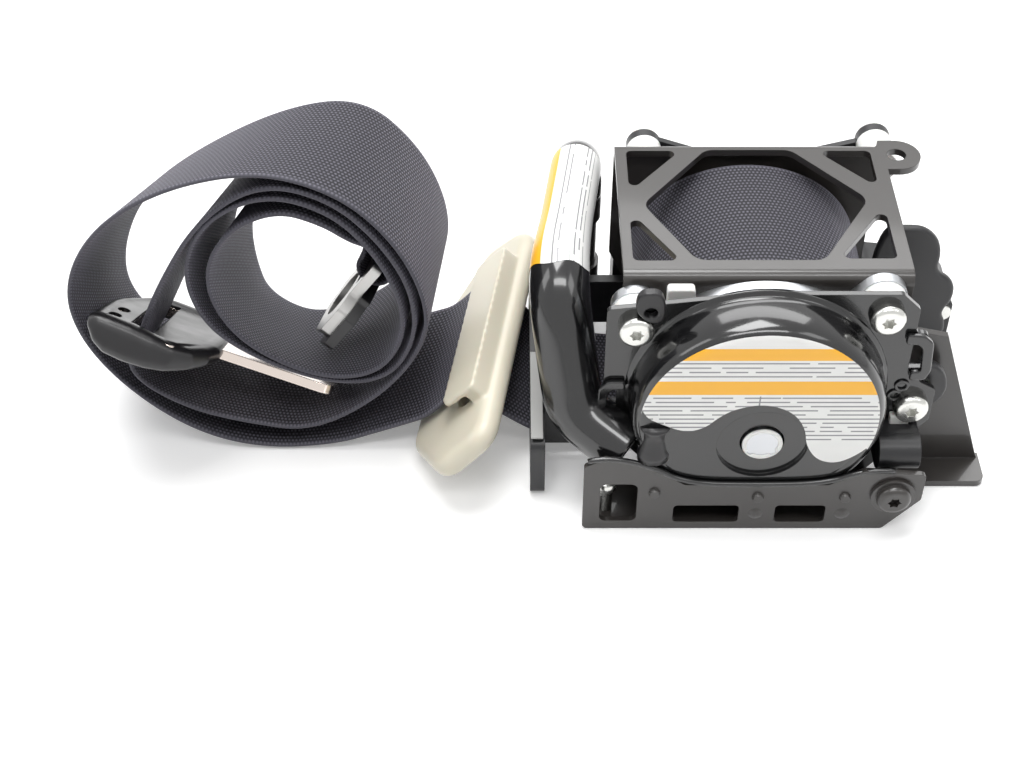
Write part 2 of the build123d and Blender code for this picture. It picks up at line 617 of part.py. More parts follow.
def sensor_housing():
    """Open cage with a dished floor under the sensor ball, on the frame's right."""
    y0, y1 = MECH_Y0 - 4.0, MECH_Y1 - COVER_WALL - 0.1
    cage = block(SENSOR_X - 8.9, SENSOR_X + 8.9, y0, y1, 2.1, 10.5)
    for low, high in ((y0, LEVER_Y0 - 0.2), (LEVER_Y0 + 2.6, y1)):
        px, pz = LEVER_PIVOT
        cage += block(px - 2.6, px + 3.6, low, high, 10.0, pz + 2.6)
    cage -= disc(LEVER_PIVOT[0], LEVER_PIVOT[1], LEVER_PIN_R + RUN_FIT, LEVER_Y0 - 2.2, LEVER_Y0 + 4.6)
    dish = SENSOR_BALL_R + SENSOR_PLAY
    return cage - Sphere(dish).moved(Location((SENSOR_X, (y0 + y1) / 2, SENSOR_BALL_Z + SENSOR_PLAY - 0.3)))


def sensor_ball():
    """Steel ball that rolls when the car pulls up or tips."""
    y0, y1 = MECH_Y0 - 4.0, MECH_Y1 - COVER_WALL - 0.1
    return Sphere(SENSOR_BALL_R).moved(Location((SENSOR_X, (y0 + y1) / 2, SENSOR_BALL_Z)))


LEVER_Y0 = FRAME_REAR + RING_T + 1.8
LEVER_PIVOT = (122.0, 16.0)
LEVER_PIN_R = 1.1
LEVER_LIFT = 2.5


def sensor_lever():
    """Lever that lies on the ball and reaches left, to stop the toothed wheel."""
    px, pz = LEVER_PIVOT
    pad = SENSOR_BALL_Z + SENSOR_BALL_R + 0.3
    beam = slab([(px + 1.6, pz - 1.6), (px + 1.6, pz + 1.6), (px - 20, pz + 1.2), (81.4, 14.2),
                 (80.4, 15.6), (79.6, 15.2), (80.2, 11.6), (px - 20, pz - 1.8), (SENSOR_X - 4, pz - 1.8),
                 (SENSOR_X - 3, pad), (SENSOR_X + 2, pad), (SENSOR_X + 3, pz - 1.8)],
                LEVER_Y0, LEVER_Y0 + 2.4)
    pin = disc(px, pz, LEVER_PIN_R, LEVER_Y0 - 2.0, LEVER_Y0 + 4.4)
    return beam + pin


def rear_pins():
    """Light plastic posts with round heads, which hold the spring cover's two ears."""
    y0 = MECH_Y1 + BOSS_T
    pins = []
    for x, z in REAR_BOSSES:
        head = disc(x, z, BOSS_R - 0.8, y0, y0 + 3.0)
        head = fillet(head.edges().group_by(Axis.Y)[-1], 1.6)
        post = disc(x, z, BOSS_R, MECH_Y0, MECH_Y1)
        pins.append(head + post + disc(x, z, BOSS_PIN_R, MECH_Y1 - 1.0, y0))
    return Part() + pins


def sensor_screw():
    """Small screw that holds the sensor's end of the mechanism cover."""
    x, z = SENSOR_SCREW_AT
    face = MECH_Y0 - SENSOR_NOSE
    return disc(x, z, 2.6, face - 2.0, face) + disc(x, z, 1.4, face, MECH_Y0 + 6.0)


def webbing_guide():
    """Moulded guide plate with a slot for the strap, on two arms from the frame."""
    body = Rectangle(GUIDE_REAR - GUIDE_FRONT, GUIDE_Z)
    body = fillet(body.vertices(), 3.0)
    plate = extrude(Plane.YZ * body, GUIDE_T)
    plate = plate.moved(Location((GUIDE_X, (GUIDE_REAR + GUIDE_FRONT) / 2, GUIDE_Z / 2)))
    slot = block(GUIDE_X - 1, GUIDE_X + GUIDE_T + 1, -WEB_W / 2 - 1.2, WEB_W / 2 + 1.2, GUIDE_SLOT_Z, GUIDE_Z - 4.0)
    arms = None
    for side in (-1, 1):
        inner = side * (WEB_W / 2 + 0.8)
        wall = WALL_IN_FRONT if side < 0 else WALL_IN_REAR
        arm = block(GUIDE_X, FRAME_LEFT + 8.5, min(inner, wall), max(inner, wall), WALL_FOOT + 1, 22.0)
        arms = arm if arms is None else arms + arm
    return plate + arms - slot


LOOP_SLOT_L = WEB_W + LOOP_SLOT_EXTRA
LOOP_LENGTH = LOOP_SLOT_L + 2 * LOOP_END


def loop_place():
    """Pose of the pillar loop: long axis near Y, leaning up to the right from its eye."""
    return Location((LOOP_X, LOOP_Y, LOOP_Z)) * Location((0, 0, 0), (0, 0, LOOP_YAW)) \
        * Location((0, 0, 0), (0, -LOOP_TILT, 0))


def loop_outline(grow):
    """Outline of the pillar loop, narrow at the bolt eye and wide at the slot."""
    w, h = LOOP_WIDTH / 2 + grow, LOOP_LENGTH / 2 + grow
    return [(-w, -0.60 * h), (-0.1 * w, -h), (w, -0.94 * h), (w, 0.94 * h), (-0.1 * w, h), (-w, 0.60 * h)]


def loop_slot(grow=0.0):
    """The strap's slot through the pillar loop."""
    slot = SlotOverall(LOOP_SLOT_L + 2 * grow, LOOP_SLOT_H + 2 * grow, rotation=90)
    return extrude(slot, LOOP_T, both=True).moved(Location((LOOP_WIDTH / 2 - LOOP_SLOT_IN, 0, 0)))


def loop_eye(radius):
    """A round bar through the pillar loop's bolt eye."""
    return Cylinder(radius, 2 * LOOP_T).moved(Location((-LOOP_WIDTH / 2 + LOOP_EYE_IN, 0, 0)))


def pillar_loop():
    """Moulded loop with a long strap slot, a bolt eye, rounded edges and a lip over the strap."""
    face = make_face(FilletPolyline(*loop_outline(0), radius=8.0, close=True))
    body = extrude(face, LOOP_T / 2, both=True)
    body = fillet(body.edges().group_by(Axis.Z)[-1] + body.edges().group_by(Axis.Z)[0], 3.4)
    body -= loop_slot()
    body -= loop_eye(LOOP_BOLT_R + 0.6)
    edge = LOOP_WIDTH / 2
    half = LOOP_SLOT_L / 2
    lip = block(edge - LIP_REACH, edge - 1.6, -half - 3, half + 3, LIP_Z, LIP_Z + LIP_T)
    lip = fillet(lip.edges().filter_by(Axis.Z), 3.0)
    wall_in = edge - LOOP_SLOT_IN + LOOP_SLOT_H / 2
    wall = block(wall_in + 1.0, edge - 1.6, -half - 3, half + 3, 0.0, LIP_Z + LIP_T)
    wall = fillet(wall.edges().filter_by(Axis.Z), 1.8)
    return (body + lip + wall - loop_core_solid()).moved(loop_place())


LOOP_CORE_T = 2.6
LOOP_CORE_IN = 2.4


def loop_core_solid():
    """The steel plate inside the loop, before it is placed."""
    face = make_face(FilletPolyline(*loop_outline(-LOOP_CORE_IN), radius=6.0, close=True))
    plate = extrude(face, LOOP_CORE_T / 2, both=True)
    return plate - loop_slot(LOOP_CORE_IN - 0.8) - loop_eye(LOOP_BOLT_R)


def loop_core():
    """Steel plate that carries the pillar loop's load round the slot and the bolt."""
    return loop_core_solid().moved(loop_place())


def tongue_place():
    """Pose of the tongue: blade pointing down to the right, leaning with the coil."""
    return Location(TONGUE_AT) * Location((0, 0, 0), (0, 0, TONGUE_YAW)) \
        * Location((0, 0, 0), (TONGUE_ROLL, 0, 0)) * Location((0, 0, 0), (0, TONGUE_TILT, 0))


SLOT_HALF = WEB_W / 2 + TONGUE_SLOT_EXTRA
HEAD_HALF = SLOT_HALF + BUMPER_W
SLOT_X0 = TONGUE_SLOT_X - TONGUE_SLOT_H / 2
SLOT_X1 = TONGUE_SLOT_X + TONGUE_SLOT_H / 2


def tongue_grip():
    """Moulded grip: a thick rounded bar at each end of the strap slot and a neck round the blade."""
    parts = []
    for side, drop in ((-1, BUMPER_DROP), (1, HEAD_T / 2)):
        inner, outer = side * (SLOT_HALF + 0.8), side * HEAD_HALF
        start = HEAD_X0 if side < 0 else HEAD_X0 + HEAD_CUT
        bar = block(start, HEAD_X1 - 3, min(inner, outer), max(inner, outer), -drop, HEAD_T / 2)
        bar = fillet(bar.edges().filter_by(Axis.Z), 2.3)
        parts.append(fillet(bar.edges().group_by(Axis.Z)[-1] + bar.edges().group_by(Axis.Z)[0], 1.8))
    neck = make_face(FilletPolyline((SLOT_X1 + 1.2, -HEAD_HALF + 2), (HEAD_X1 - 7, -HEAD_HALF + 2),
                                    (HEAD_X1 + 1, -BLADE_W / 2 - 2), (HEAD_X1 + 1, BLADE_W / 2 + 2),
                                    (HEAD_X1 - 7, HEAD_HALF - 2), (SLOT_X1 + 1.2, HEAD_HALF - 2),
                                    radius=1.8, close=True))
    neck = extrude(neck, HEAD_T / 2 - 0.4, both=True)
    neck = fillet(neck.edges().group_by(Axis.Z)[-1] + neck.edges().group_by(Axis.Z)[0], 1.8)
    body = parts[0] + parts[1] + neck
    return (body - tongue_steel()).moved(tongue_place())


def tongue_steel():
    """The tongue's steel plate before it is placed."""
    half = HEAD_HALF - 1.6
    yoke = make_face(FilletPolyline((HEAD_X0 + 1.5, -half), (HEAD_X1 - 6, -half), (HEAD_X1 - 6, half),
                                    (SLOT_X0 - 0.5, half), (HEAD_X0 + 1.5, half - 22), radius=1.5, close=True))
    yoke = extrude(yoke, BLADE_T / 2, both=True)
    blade = block(HEAD_X1 - 7, BLADE_TIP, -BLADE_W / 2, BLADE_W / 2, -BLADE_T / 2, BLADE_T / 2)
    blade = fillet(blade.edges().filter_by(Axis.Z).group_by(Axis.X)[-1], 4.0)
    latch = block(BLADE_TIP - 16.0, BLADE_TIP - 7.0, -7.0, 7.0, -HEAD_T, HEAD_T)
    latch = fillet(latch.edges().filter_by(Axis.Z), 1.5)
    slot = block(SLOT_X0, SLOT_X1, -SLOT_HALF, SLOT_HALF, -HEAD_T, HEAD_T)
    holes = [Cylinder(1.7, 2 * HEAD_T).moved(Location((HEAD_X0 + 4.6, y, 0))) for y in (-15.0, -6.0)]
    return yoke + blade - slot - latch - holes


def tongue_blade():
    """Chromed steel tongue with its latch window."""
    return tongue_steel().moved(tongue_place())


def plate_place():
    """Pose of the end plate: it hangs from its bar, in the sewn end of the strap."""
    return Plane(origin=BAR_AT, x_dir=PLATE_DOWN, z_dir=PLATE_FACE).location


def plate_outline(grow, start):
    """Outline of the end plate: a head as wide as the sewn strap, then a rounded eye."""
    y0 = SEWN_SHIFT - SEWN_W / 2 - 4 - grow
    y1 = SEWN_SHIFT + SEWN_W / 2 + 4 + grow
    half = PLATE_W / 2 + grow
    tip = PLATE_HOLE_AT + PLATE_TIP + grow
    return [(start, y0), (8, y0), (12, -half), (tip - 6, -half), (tip, -half + 7), (tip, half - 7),
            (tip - 6, half), (13, half), (8.6, y1), (start, y1)]


def plate_eye(radius):
    """A round bar through the end plate's bolt hole."""
    return Cylinder(radius, 6 * PLATE_T).moved(Location((PLATE_HOLE_AT, 0, 0)))


def end_plate():
    """Steel plate with a slot for the sewn strap and a large bolt hole."""
    face = make_face(FilletPolyline(*plate_outline(0, -BAR_W / 2), radius=1.6, close=True))
    body = extrude(face, PLATE_T / 2, both=True)
    low, high = SEWN_SHIFT - SEWN_W / 2 - 1, SEWN_SHIFT + SEWN_W / 2 + 1
    body -= block(BAR_W / 2, BAR_W / 2 + 3.4, low, high, -PLATE_T, PLATE_T)
    return (body - plate_eye(PLATE_HOLE_R)).moved(plate_place())


def end_plate_cover():
    """Black moulded cover on the end plate's back, a little larger than the plate."""
    face = make_face(FilletPolyline(*plate_outline(PLATE_COVER_RIM, BAR_W / 2 + 2.6), radius=0.6, close=True))
    body = extrude(face, PLATE_COVER_T).moved(Location((0, 0, PLATE_T / 2)))
    return (body - plate_eye(PLATE_HOLE_R + 1.0)).moved(plate_place())


def sewn_end():
    """The strap's folded and stitched end, a narrow loop round the end plate's bar."""
    inner = math.hypot(BAR_W / 2, PLATE_T / 2) + PLY_GAP
    outer = inner + WEB_T
    ring = Cylinder(outer, SEWN_W, rotation=(90, 0, 0)) - Cylinder(inner, SEWN_W + 2, rotation=(90, 0, 0))
    return ring.moved(plate_place() * Location((0, SEWN_SHIFT, 0)))


NODES = {
    "retractor_frame": retractor_frame,
    "spool": spool,
    "wound_webbing": wound_webbing,
    "torsion_bar": torsion_bar,
    "base_disc": base_disc,
    "screw_spacers": screw_spacers,
    "drive_wheel": drive_wheel,
    "drum_cover": drum_cover,
    "ball_tube": ball_tube,
    "drive_balls": drive_balls,
    "tube_seal": tube_seal,
    "gas_generator": gas_generator,
    "lower_bracket": lower_bracket,
    "cover_clamp": cover_clamp,
    "cover_screws": cover_screws,
    "bracket_bolt": bracket_bolt,
    "lock_ring": lock_ring,
    "lock_head": lock_head,
    "locking_pawl": locking_pawl,
    "steering_wheel": steering_wheel,
    "mechanism_cover": mechanism_cover,
    "spring_cover": spring_cover,
    "spring_arbor": spring_arbor,
    "return_spring": return_spring,
    "sensor_housing": sensor_housing,
    "sensor_ball": sensor_ball,
    "sensor_lever": sensor_lever,
    "sensor_screw": sensor_screw,
    "rear_pins": rear_pins,
    "webbing_guide": webbing_guide,
    "webbing_lead": lambda: ribbon(LEAD),
    "webbing_outer_turn": lambda: ribbon(OUTER),
    "webbing_inner_turns": lambda: ribbon(INNER),
    "sewn_end": sewn_end,
    "pillar_loop": pillar_loop,
    "loop_core": loop_core,
    "tongue_grip": tongue_grip,
    "tongue_blade": tongue_blade,
    "end_plate": end_plate,
    "end_plate_cover": end_plate_cover,
}


def main():
    """Build every piece and write it in the shared frame."""
    os.makedirs("parts", exist_ok=True)
    for name, make in NODES.items():
        piece = make().moved(Location((-ORIGIN_X, -ORIGIN_Y, 0)))
        piece.label = name
        export_step(piece, os.path.join("parts", name + ".step"))


if __name__ == "__main__":
    main()
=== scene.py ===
"""Looks of a car seat belt: retractor, ball-driven pretensioner, pillar loop, tongue and end plate."""

from __future__ import annotations

import logging
import math
from dataclasses import dataclass
from enum import Enum

import bpy
from mathutils import Matrix, Vector

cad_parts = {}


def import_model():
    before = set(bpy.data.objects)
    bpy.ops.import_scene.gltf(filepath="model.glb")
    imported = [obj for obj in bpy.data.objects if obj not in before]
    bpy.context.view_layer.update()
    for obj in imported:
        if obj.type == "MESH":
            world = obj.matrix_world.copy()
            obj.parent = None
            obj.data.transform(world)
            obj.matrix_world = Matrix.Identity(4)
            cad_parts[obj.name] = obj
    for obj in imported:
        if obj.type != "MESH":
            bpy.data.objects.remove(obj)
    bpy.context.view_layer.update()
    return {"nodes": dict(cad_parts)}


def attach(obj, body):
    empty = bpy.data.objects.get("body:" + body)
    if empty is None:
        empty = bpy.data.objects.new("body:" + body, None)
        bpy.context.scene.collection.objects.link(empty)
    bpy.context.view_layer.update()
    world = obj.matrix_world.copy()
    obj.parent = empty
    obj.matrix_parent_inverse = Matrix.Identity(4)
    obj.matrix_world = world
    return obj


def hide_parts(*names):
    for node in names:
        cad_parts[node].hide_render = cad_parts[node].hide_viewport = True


log = logging.getLogger("seat_belt")

MM = 0.001

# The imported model's origin in the drawing that the strap's route is measured in, in mm.
DRAWING_X = 7.64
DRAWING_Y = -1.6
STRAP_MIDDLE_Y = 3.5

# The layer that holds a flat piece's own coordinates, in metres.
FLAT_LAYER = "flat_m"

# Clear lacquer and moulded plastic: how sharp a coat's highlight is, and how deep light gets in.
COAT_ROUGHNESS = 0.06
SUBSURFACE_M = 0.002
# A finish's grain as a bump: strength for a depth of 1, and height as a share of the grain's size.
GRAIN_STRENGTH = 4.0
GRAIN_HEIGHT = 0.1


def linear(code: str) -> tuple[float, float, float, float]:
    """Turn an sRGB hex colour into linear light.

    Args:
        code: the colour as "#rrggbb".

    Returns:
        Linear red, green, blue and an alpha of 1.
    """
    parts = [int(code[i:i + 2], 16) / 255 for i in (1, 3, 5)]
    return (*[c / 12.92 if c <= 0.04045 else ((c + 0.055) / 1.055) ** 2.4 for c in parts], 1.0)


def add_node(tree: bpy.types.NodeTree, kind: str,
             links: dict[str | int, bpy.types.NodeSocket | bpy.types.Node] | None = None,
             inputs: dict[str | int, object] | None = None, **settings: object) -> bpy.types.Node:
    """Add one shader node with its settings, values and links.

    Args:
        tree: the node tree to add it to.
        kind: the node's type name.
        links: input name or number to what feeds it: an output socket, or a node for its first output.
        inputs: input name or number to a fixed value.
        **settings: attributes of the node.

    Returns:
        The new node.
    """
    node = tree.nodes.new(kind)
    for name, value in settings.items():
        setattr(node, name, value)
    for name, value in (inputs or {}).items():
        node.inputs[name].default_value = value
    for name, source in (links or {}).items():
        socket = source.outputs[0] if isinstance(source, bpy.types.Node) else source
        tree.links.new(socket, node.inputs[name])
    return node


@dataclass(frozen=True)
class Finish:
    """A surface: what it is made of and how it was made.

    Grain is a bump of a real size; mottle is a slow change of colour; rounding is the small
    radius that every pressed or moulded edge has. The slot names the record's material slot for
    the pieces that are made here; it is not used.
    """

    name: str
    colour: str
    roughness: float
    slot: str = ""
    metallic: float = 0.0
    coat: float = 0.0
    grain_mm: float = 0.5
    grain_depth: float = 0.04
    mottle_mm: float = 12.0
    mottle: float = 0.06
    smear: float = 0.05
    rounding_mm: float = 0.3
    subsurface: float = 0.0

    def shader(self, tree: bpy.types.NodeTree) -> bpy.types.Node:
        """Build the surface's nodes.

        Args:
            tree: the material's node tree, already empty.

        Returns:
            The principled shader.
        """
        place = add_node(tree, "ShaderNodeTexCoord")
        slow = add_node(tree, "ShaderNodeTexNoise", {"Vector": place.outputs["Object"]},
                        {"Scale": 1 / (self.mottle_mm * MM), "Detail": 4.0, "Roughness": 0.6})
        fine = add_node(tree, "ShaderNodeTexNoise", {"Vector": place.outputs["Object"]},
                        {"Scale": 1 / (self.grain_mm * MM), "Detail": 2.0})
        base = linear(self.colour)
        dark = (*[c * (1 - self.mottle) for c in base[:3]], 1.0)
        light = (*[min(1.0, c * (1 + self.mottle)) for c in base[:3]], 1.0)
        tint = add_node(tree, "ShaderNodeMix", {0: slow.outputs["Fac"]}, {6: dark, 7: light},
                        data_type="RGBA")
        gloss = add_node(tree, "ShaderNodeMapRange", {"Value": slow.outputs["Fac"]},
                         {"From Min": 0.3, "From Max": 0.7, "To Max": self.roughness + self.smear,
                          "To Min": max(0.02, self.roughness - self.smear)})
        edge = add_node(tree, "ShaderNodeBevel", None, {"Radius": self.rounding_mm * MM}, samples=4)
        bump = add_node(tree, "ShaderNodeBump",
                        {"Height": fine.outputs["Fac"], "Normal": edge.outputs["Normal"]},
                        {"Strength": self.grain_depth * GRAIN_STRENGTH,
                         "Distance": self.grain_mm * GRAIN_HEIGHT * MM})
        return add_node(tree, "ShaderNodeBsdfPrincipled",
                        {"Base Color": tint.outputs[2], "Roughness": gloss.outputs["Result"],
                         "Normal": bump.outputs["Normal"]},
                        {"Metallic": self.metallic, "Coat Weight": self.coat,
                         "Coat Roughness": COAT_ROUGHNESS, "Subsurface Weight": self.subsurface,
                         "Subsurface Scale": SUBSURFACE_M})

    def material(self) -> bpy.types.Material:
        """Return this finish's material, made once."""
        found = bpy.data.materials.get(self.name)
        if found:
            return found
        made = bpy.data.materials.new(self.name)
        made.use_nodes = True
        made.node_tree.nodes.clear()
        shader = self.shader(made.node_tree)
        add_node(made.node_tree, "ShaderNodeOutputMaterial", {"Surface": shader})
        return made


@dataclass(frozen=True)
class Webbing(Finish):
    """Woven polyester strap: ribs along it, picks across it, and a tighter edge on each side.

    The pitches are those of the ribs that are seen from a distance; single yarns are finer.
    Valley and crest are painted shade in the weave's hollows and a painted highlight on its yarn crests, as
    shares of the colour.
    """

    warp_mm: float = 1.25
    pick_mm: float = 1.1
    fuzz_mm: float = 0.22
    fuzz_height: float = 0.25
    # Painted shade in the weave's hollows and a painted highlight on its yarn crests, as shares of the
    # colour.
    painted_valley_shade: float = 0.16
    painted_crest_highlight: float = 2.3
    wear: tuple = (0.82, 0.82, 0.84, 1.0)
    sheen: str = "#b9b6c6"
    edge_mm: float = 2.2
    edge_light: float = 0.42
    width_mm: float = 47.0

    def shader(self, tree: bpy.types.NodeTree) -> bpy.types.Node:
        """Build the weave from the strap's own flat coordinates.

        Args:
            tree: the material's node tree, already empty.

        Returns:
            The principled shader.
        """
        flat = add_node(tree, "ShaderNodeUVMap", uv_map=FLAT_LAYER)
        split = add_node(tree, "ShaderNodeSeparateXYZ", {"Vector": flat.outputs["UV"]})
        across, along = split.outputs["X"], split.outputs["Y"]
        warp = add_node(tree, "ShaderNodeMath", {0: across}, {1: 1 / (self.warp_mm * MM)},
                        operation="MULTIPLY")
        pick = add_node(tree, "ShaderNodeMath", {0: along}, {1: 1 / (self.pick_mm * MM)},
                        operation="MULTIPLY")
        rib = add_node(tree, "ShaderNodeMath", {0: warp}, operation="FLOOR")
        half = add_node(tree, "ShaderNodeMath", {0: rib}, {1: 0.5}, operation="MULTIPLY")
        shifted = add_node(tree, "ShaderNodeMath", {0: pick, 1: half},
                           operation="ADD")
        waves = []
        for source in (warp, shifted):
            turn = add_node(tree, "ShaderNodeMath", {0: source}, {1: math.tau},
                            operation="MULTIPLY")
            cosine = add_node(tree, "ShaderNodeMath", {0: turn}, operation="COSINE")
            waves.append(add_node(tree, "ShaderNodeMapRange", {"Value": cosine},
                                  {"From Min": 1.0, "From Max": -1.0}))
        yarn = add_node(tree, "ShaderNodeMath", {0: waves[0], 1: waves[1]},
                        operation="MULTIPLY")
        place = add_node(tree, "ShaderNodeTexCoord")
        slow = add_node(tree, "ShaderNodeTexNoise", {"Vector": place.outputs["Object"]},
                        {"Scale": 1 / (self.mottle_mm * MM), "Detail": 3.0})
        fuzz = add_node(tree, "ShaderNodeTexNoise", {"Vector": place.outputs["Object"]},
                        {"Scale": 1 / (self.fuzz_mm * MM), "Detail": 2.0})
        height = add_node(tree, "ShaderNodeMath", {0: fuzz.outputs["Fac"], 2: yarn},
                          {1: self.fuzz_height}, operation="MULTIPLY_ADD")
        base = linear(self.colour)
        # The yarn's hollows get painted shade and its crests a painted highlight.
        deep = (*[c * self.painted_valley_shade for c in base[:3]], 1.0)
        high = (*[min(1.0, c * self.painted_crest_highlight) for c in base[:3]], 1.0)
        shade = add_node(tree, "ShaderNodeMix", {0: yarn}, {6: deep, 7: high}, data_type="RGBA")
        worn = add_node(tree, "ShaderNodeMix", {0: slow.outputs["Fac"], 6: shade.outputs[2]},
                        {7: self.wear}, data_type="RGBA", blend_type="MULTIPLY")
        bump = add_node(tree, "ShaderNodeBump", {"Height": height},
                        {"Strength": 0.7, "Distance": self.fuzz_mm * MM})
        # Towards each selvedge the colour is mixed with the painted crest highlight.
        half_width = self.width_mm * MM / 2
        centred = add_node(tree, "ShaderNodeMath", {0: across}, {1: half_width}, operation="SUBTRACT")
        apart = add_node(tree, "ShaderNodeMath", {0: centred}, operation="ABSOLUTE")
        selvedge = add_node(tree, "ShaderNodeMapRange", {"Value": apart},
                            {"From Min": half_width - self.edge_mm * MM, "From Max": half_width,
                             "To Min": 0.0, "To Max": self.edge_light})
        bound = add_node(tree, "ShaderNodeMix", {0: selvedge, 6: worn.outputs[2]}, {7: high},
                         data_type="RGBA")
        return add_node(tree, "ShaderNodeBsdfPrincipled",
                        {"Base Color": bound.outputs[2], "Normal": bump.outputs["Normal"]},
                        {"Roughness": self.roughness, "Sheen Weight": 0.35, "Sheen Roughness": 0.45,
                         "Sheen Tint": linear(self.sheen), "Specular IOR Level": 0.22})


class Layout(Enum):
    """Which way a sticker's bands and rules are stacked."""

    ROWS = "rows"
    COLUMNS = "columns"


@dataclass(frozen=True)
class PrintedLabel(Finish):
    """Coated paper sticker with plain amber bands and thin grey rules, and nothing to read."""

    bands: tuple[tuple[float, float], ...] = ()
    ruled: tuple[tuple[float, float], ...] = ()
    divider: tuple[float, float, float] | None = None
    divider_half_mm: float = 0.2
    layout: Layout = Layout.ROWS
    pitch_mm: float = 1.5
    rule_share: float = 0.3
    dash_scale: tuple[float, float, float] = (260.0, 7.3, 1.0)
    dash_gap: float = 0.36
    shade_colour: str = "#e3e3e1"
    rule_colour: str = "#8a8a8c"
    band_colour: str = "#fbb92a"

    def between(self, tree: bpy.types.NodeTree, value: bpy.types.NodeSocket, low: float,
                high: float) -> bpy.types.NodeSocket:
        """Tell where a value lies between two limits.

        Args:
            tree: the material's node tree.
            value: the value, in metres.
            low: the lower limit in mm.
            high: the upper limit in mm.

        Returns:
            A socket that is 1 between the limits and 0 elsewhere.
        """
        over = add_node(tree, "ShaderNodeMath", {0: value}, {1: low * MM}, operation="GREATER_THAN")
        under = add_node(tree, "ShaderNodeMath", {0: value}, {1: high * MM}, operation="LESS_THAN")
        return add_node(tree, "ShaderNodeMath", {0: over, 1: under},
                        operation="MULTIPLY").outputs[0]

    def shader(self, tree: bpy.types.NodeTree) -> bpy.types.Node:
        """Build the print from the sticker's own flat coordinates.

        Args:
            tree: the material's node tree, already empty.

        Returns:
            The principled shader.
        """
        flat = add_node(tree, "ShaderNodeUVMap", uv_map=FLAT_LAYER)
        split = add_node(tree, "ShaderNodeSeparateXYZ", {"Vector": flat.outputs["UV"]})
        side, up = split.outputs["X"], split.outputs["Y"]
        key, run = (up, side) if self.layout is Layout.ROWS else (side, up)
        line = add_node(tree, "ShaderNodeMath", {0: key}, {1: 1 / (self.pitch_mm * MM)},
                        operation="MULTIPLY")
        row = add_node(tree, "ShaderNodeMath", {0: line}, operation="FLOOR")
        part = add_node(tree, "ShaderNodeMath", {0: line}, operation="FRACT")
        thin = add_node(tree, "ShaderNodeMath", {0: part}, {1: self.rule_share},
                        operation="LESS_THAN")
        spread = add_node(tree, "ShaderNodeCombineXYZ", {"X": run, "Y": row})
        wide = add_node(tree, "ShaderNodeVectorMath", {0: spread}, {1: self.dash_scale},
                        operation="MULTIPLY")
        gaps = add_node(tree, "ShaderNodeTexNoise", {"Vector": wide},
                        {"Scale": 1.0, "Detail": 0.0})
        dash = add_node(tree, "ShaderNodeMath", {0: gaps.outputs["Fac"]}, {1: self.dash_gap},
                        operation="GREATER_THAN")
        ink = add_node(tree, "ShaderNodeMath", {0: thin, 1: dash},
                       operation="MULTIPLY")
        block = None
        for low, high in self.ruled:
            part = self.between(tree, key, low, high)
            block = part if block is None else add_node(tree, "ShaderNodeMath", {0: block, 1: part},
                                                        operation="MAXIMUM").outputs[0]
        rules = add_node(tree, "ShaderNodeMath", {0: ink, 1: block},
                         operation="MULTIPLY").outputs[0]
        if self.divider:
            x, low, high = self.divider
            beside = self.between(tree, side, x - self.divider_half_mm, x + self.divider_half_mm)
            column = add_node(tree, "ShaderNodeMath", {0: beside, 1: self.between(tree, up, low, high)},
                              operation="MULTIPLY")
            rules = add_node(tree, "ShaderNodeMath", {0: rules, 1: column},
                             operation="MAXIMUM").outputs[0]
        place = add_node(tree, "ShaderNodeTexCoord")
        slow = add_node(tree, "ShaderNodeTexNoise", {"Vector": place.outputs["Object"]}, {"Scale": 90.0})
        paper = add_node(tree, "ShaderNodeMix", {0: slow.outputs["Fac"]},
                         {6: linear(self.shade_colour), 7: linear(self.colour)}, data_type="RGBA")
        colour = add_node(tree, "ShaderNodeMix", {0: rules, 6: paper.outputs[2]},
                          {7: linear(self.rule_colour)}, data_type="RGBA").outputs[2]
        for low, high in self.bands:
            band = self.between(tree, key, low, high)
            colour = add_node(tree, "ShaderNodeMix", {0: band, 6: colour}, {7: linear(self.band_colour)},
                              data_type="RGBA").outputs[2]
        return add_node(tree, "ShaderNodeBsdfPrincipled", {"Base Color": colour},
                        {"Roughness": self.roughness, "Coat Weight": self.coat})


# Deep-drawn steel with a cathodic dip coat: warm near-black, satin, soft broad highlights.
DIP_COAT = Finish("steel_pressed_dip_coated", "#302d2b", 0.34, coat=0.45, grain_mm=0.35, grain_depth=0.03,
                  mottle=0.1, rounding_mm=0.35)
# Gloss powder coat over pressed and bent steel: deep black with hard window-like highlights.
GLOSS_COAT = Finish("steel_pressed_gloss_coated", "#141415", 0.17, "gloss_black_steel", coat=0.6,
                    grain_mm=1.6, grain_depth=0.02, mottle=0.15, smear=0.04, rounding_mm=0.4)
# Steel screws with bright zinc plating: silvery, slightly yellow-blue, fine plating grain.
BRIGHT_ZINC = Finish("steel_turned_zinc_plated", "#d3d3cf", 0.24, "zinc_steel", metallic=1.0, grain_mm=0.3,
                     grain_depth=0.05, mottle=0.08, smear=0.08, rounding_mm=0.15)
# Die-cast aluminium: pale grey, matt, with a fine cast skin.
CAST_ALUMINIUM = Finish("aluminium_die_cast", "#c4c6c9", 0.34, metallic=1.0, grain_mm=0.4, grain_depth=0.12,
                        mottle=0.06, rounding_mm=0.25)
# Hardened steel parts inside the mechanism: darker, ground.
GROUND_STEEL = Finish("steel_ground", "#8f9092", 0.3, metallic=1.0, grain_mm=0.2, grain_depth=0.06,
                      rounding_mm=0.1)
# Stamped steel tongue with polished chromium: mirror-like, its warm tan tint a painted reflection.
CHROME = Finish("steel_stamped_chromed", "#e4d8cf", 0.08, metallic=1.0, grain_mm=0.5, grain_depth=0.01,
                mottle=0.02, smear=0.03, rounding_mm=0.5)
# Moulded acetal in beige: waxy, faintly translucent.
BEIGE_ACETAL = Finish("acetal_moulded_beige", "#d1cbb9", 0.32, "plastic_beige", grain_mm=0.6,
                      grain_depth=0.02, mottle=0.012, smear=0.02, subsurface=0.08, rounding_mm=0.4)
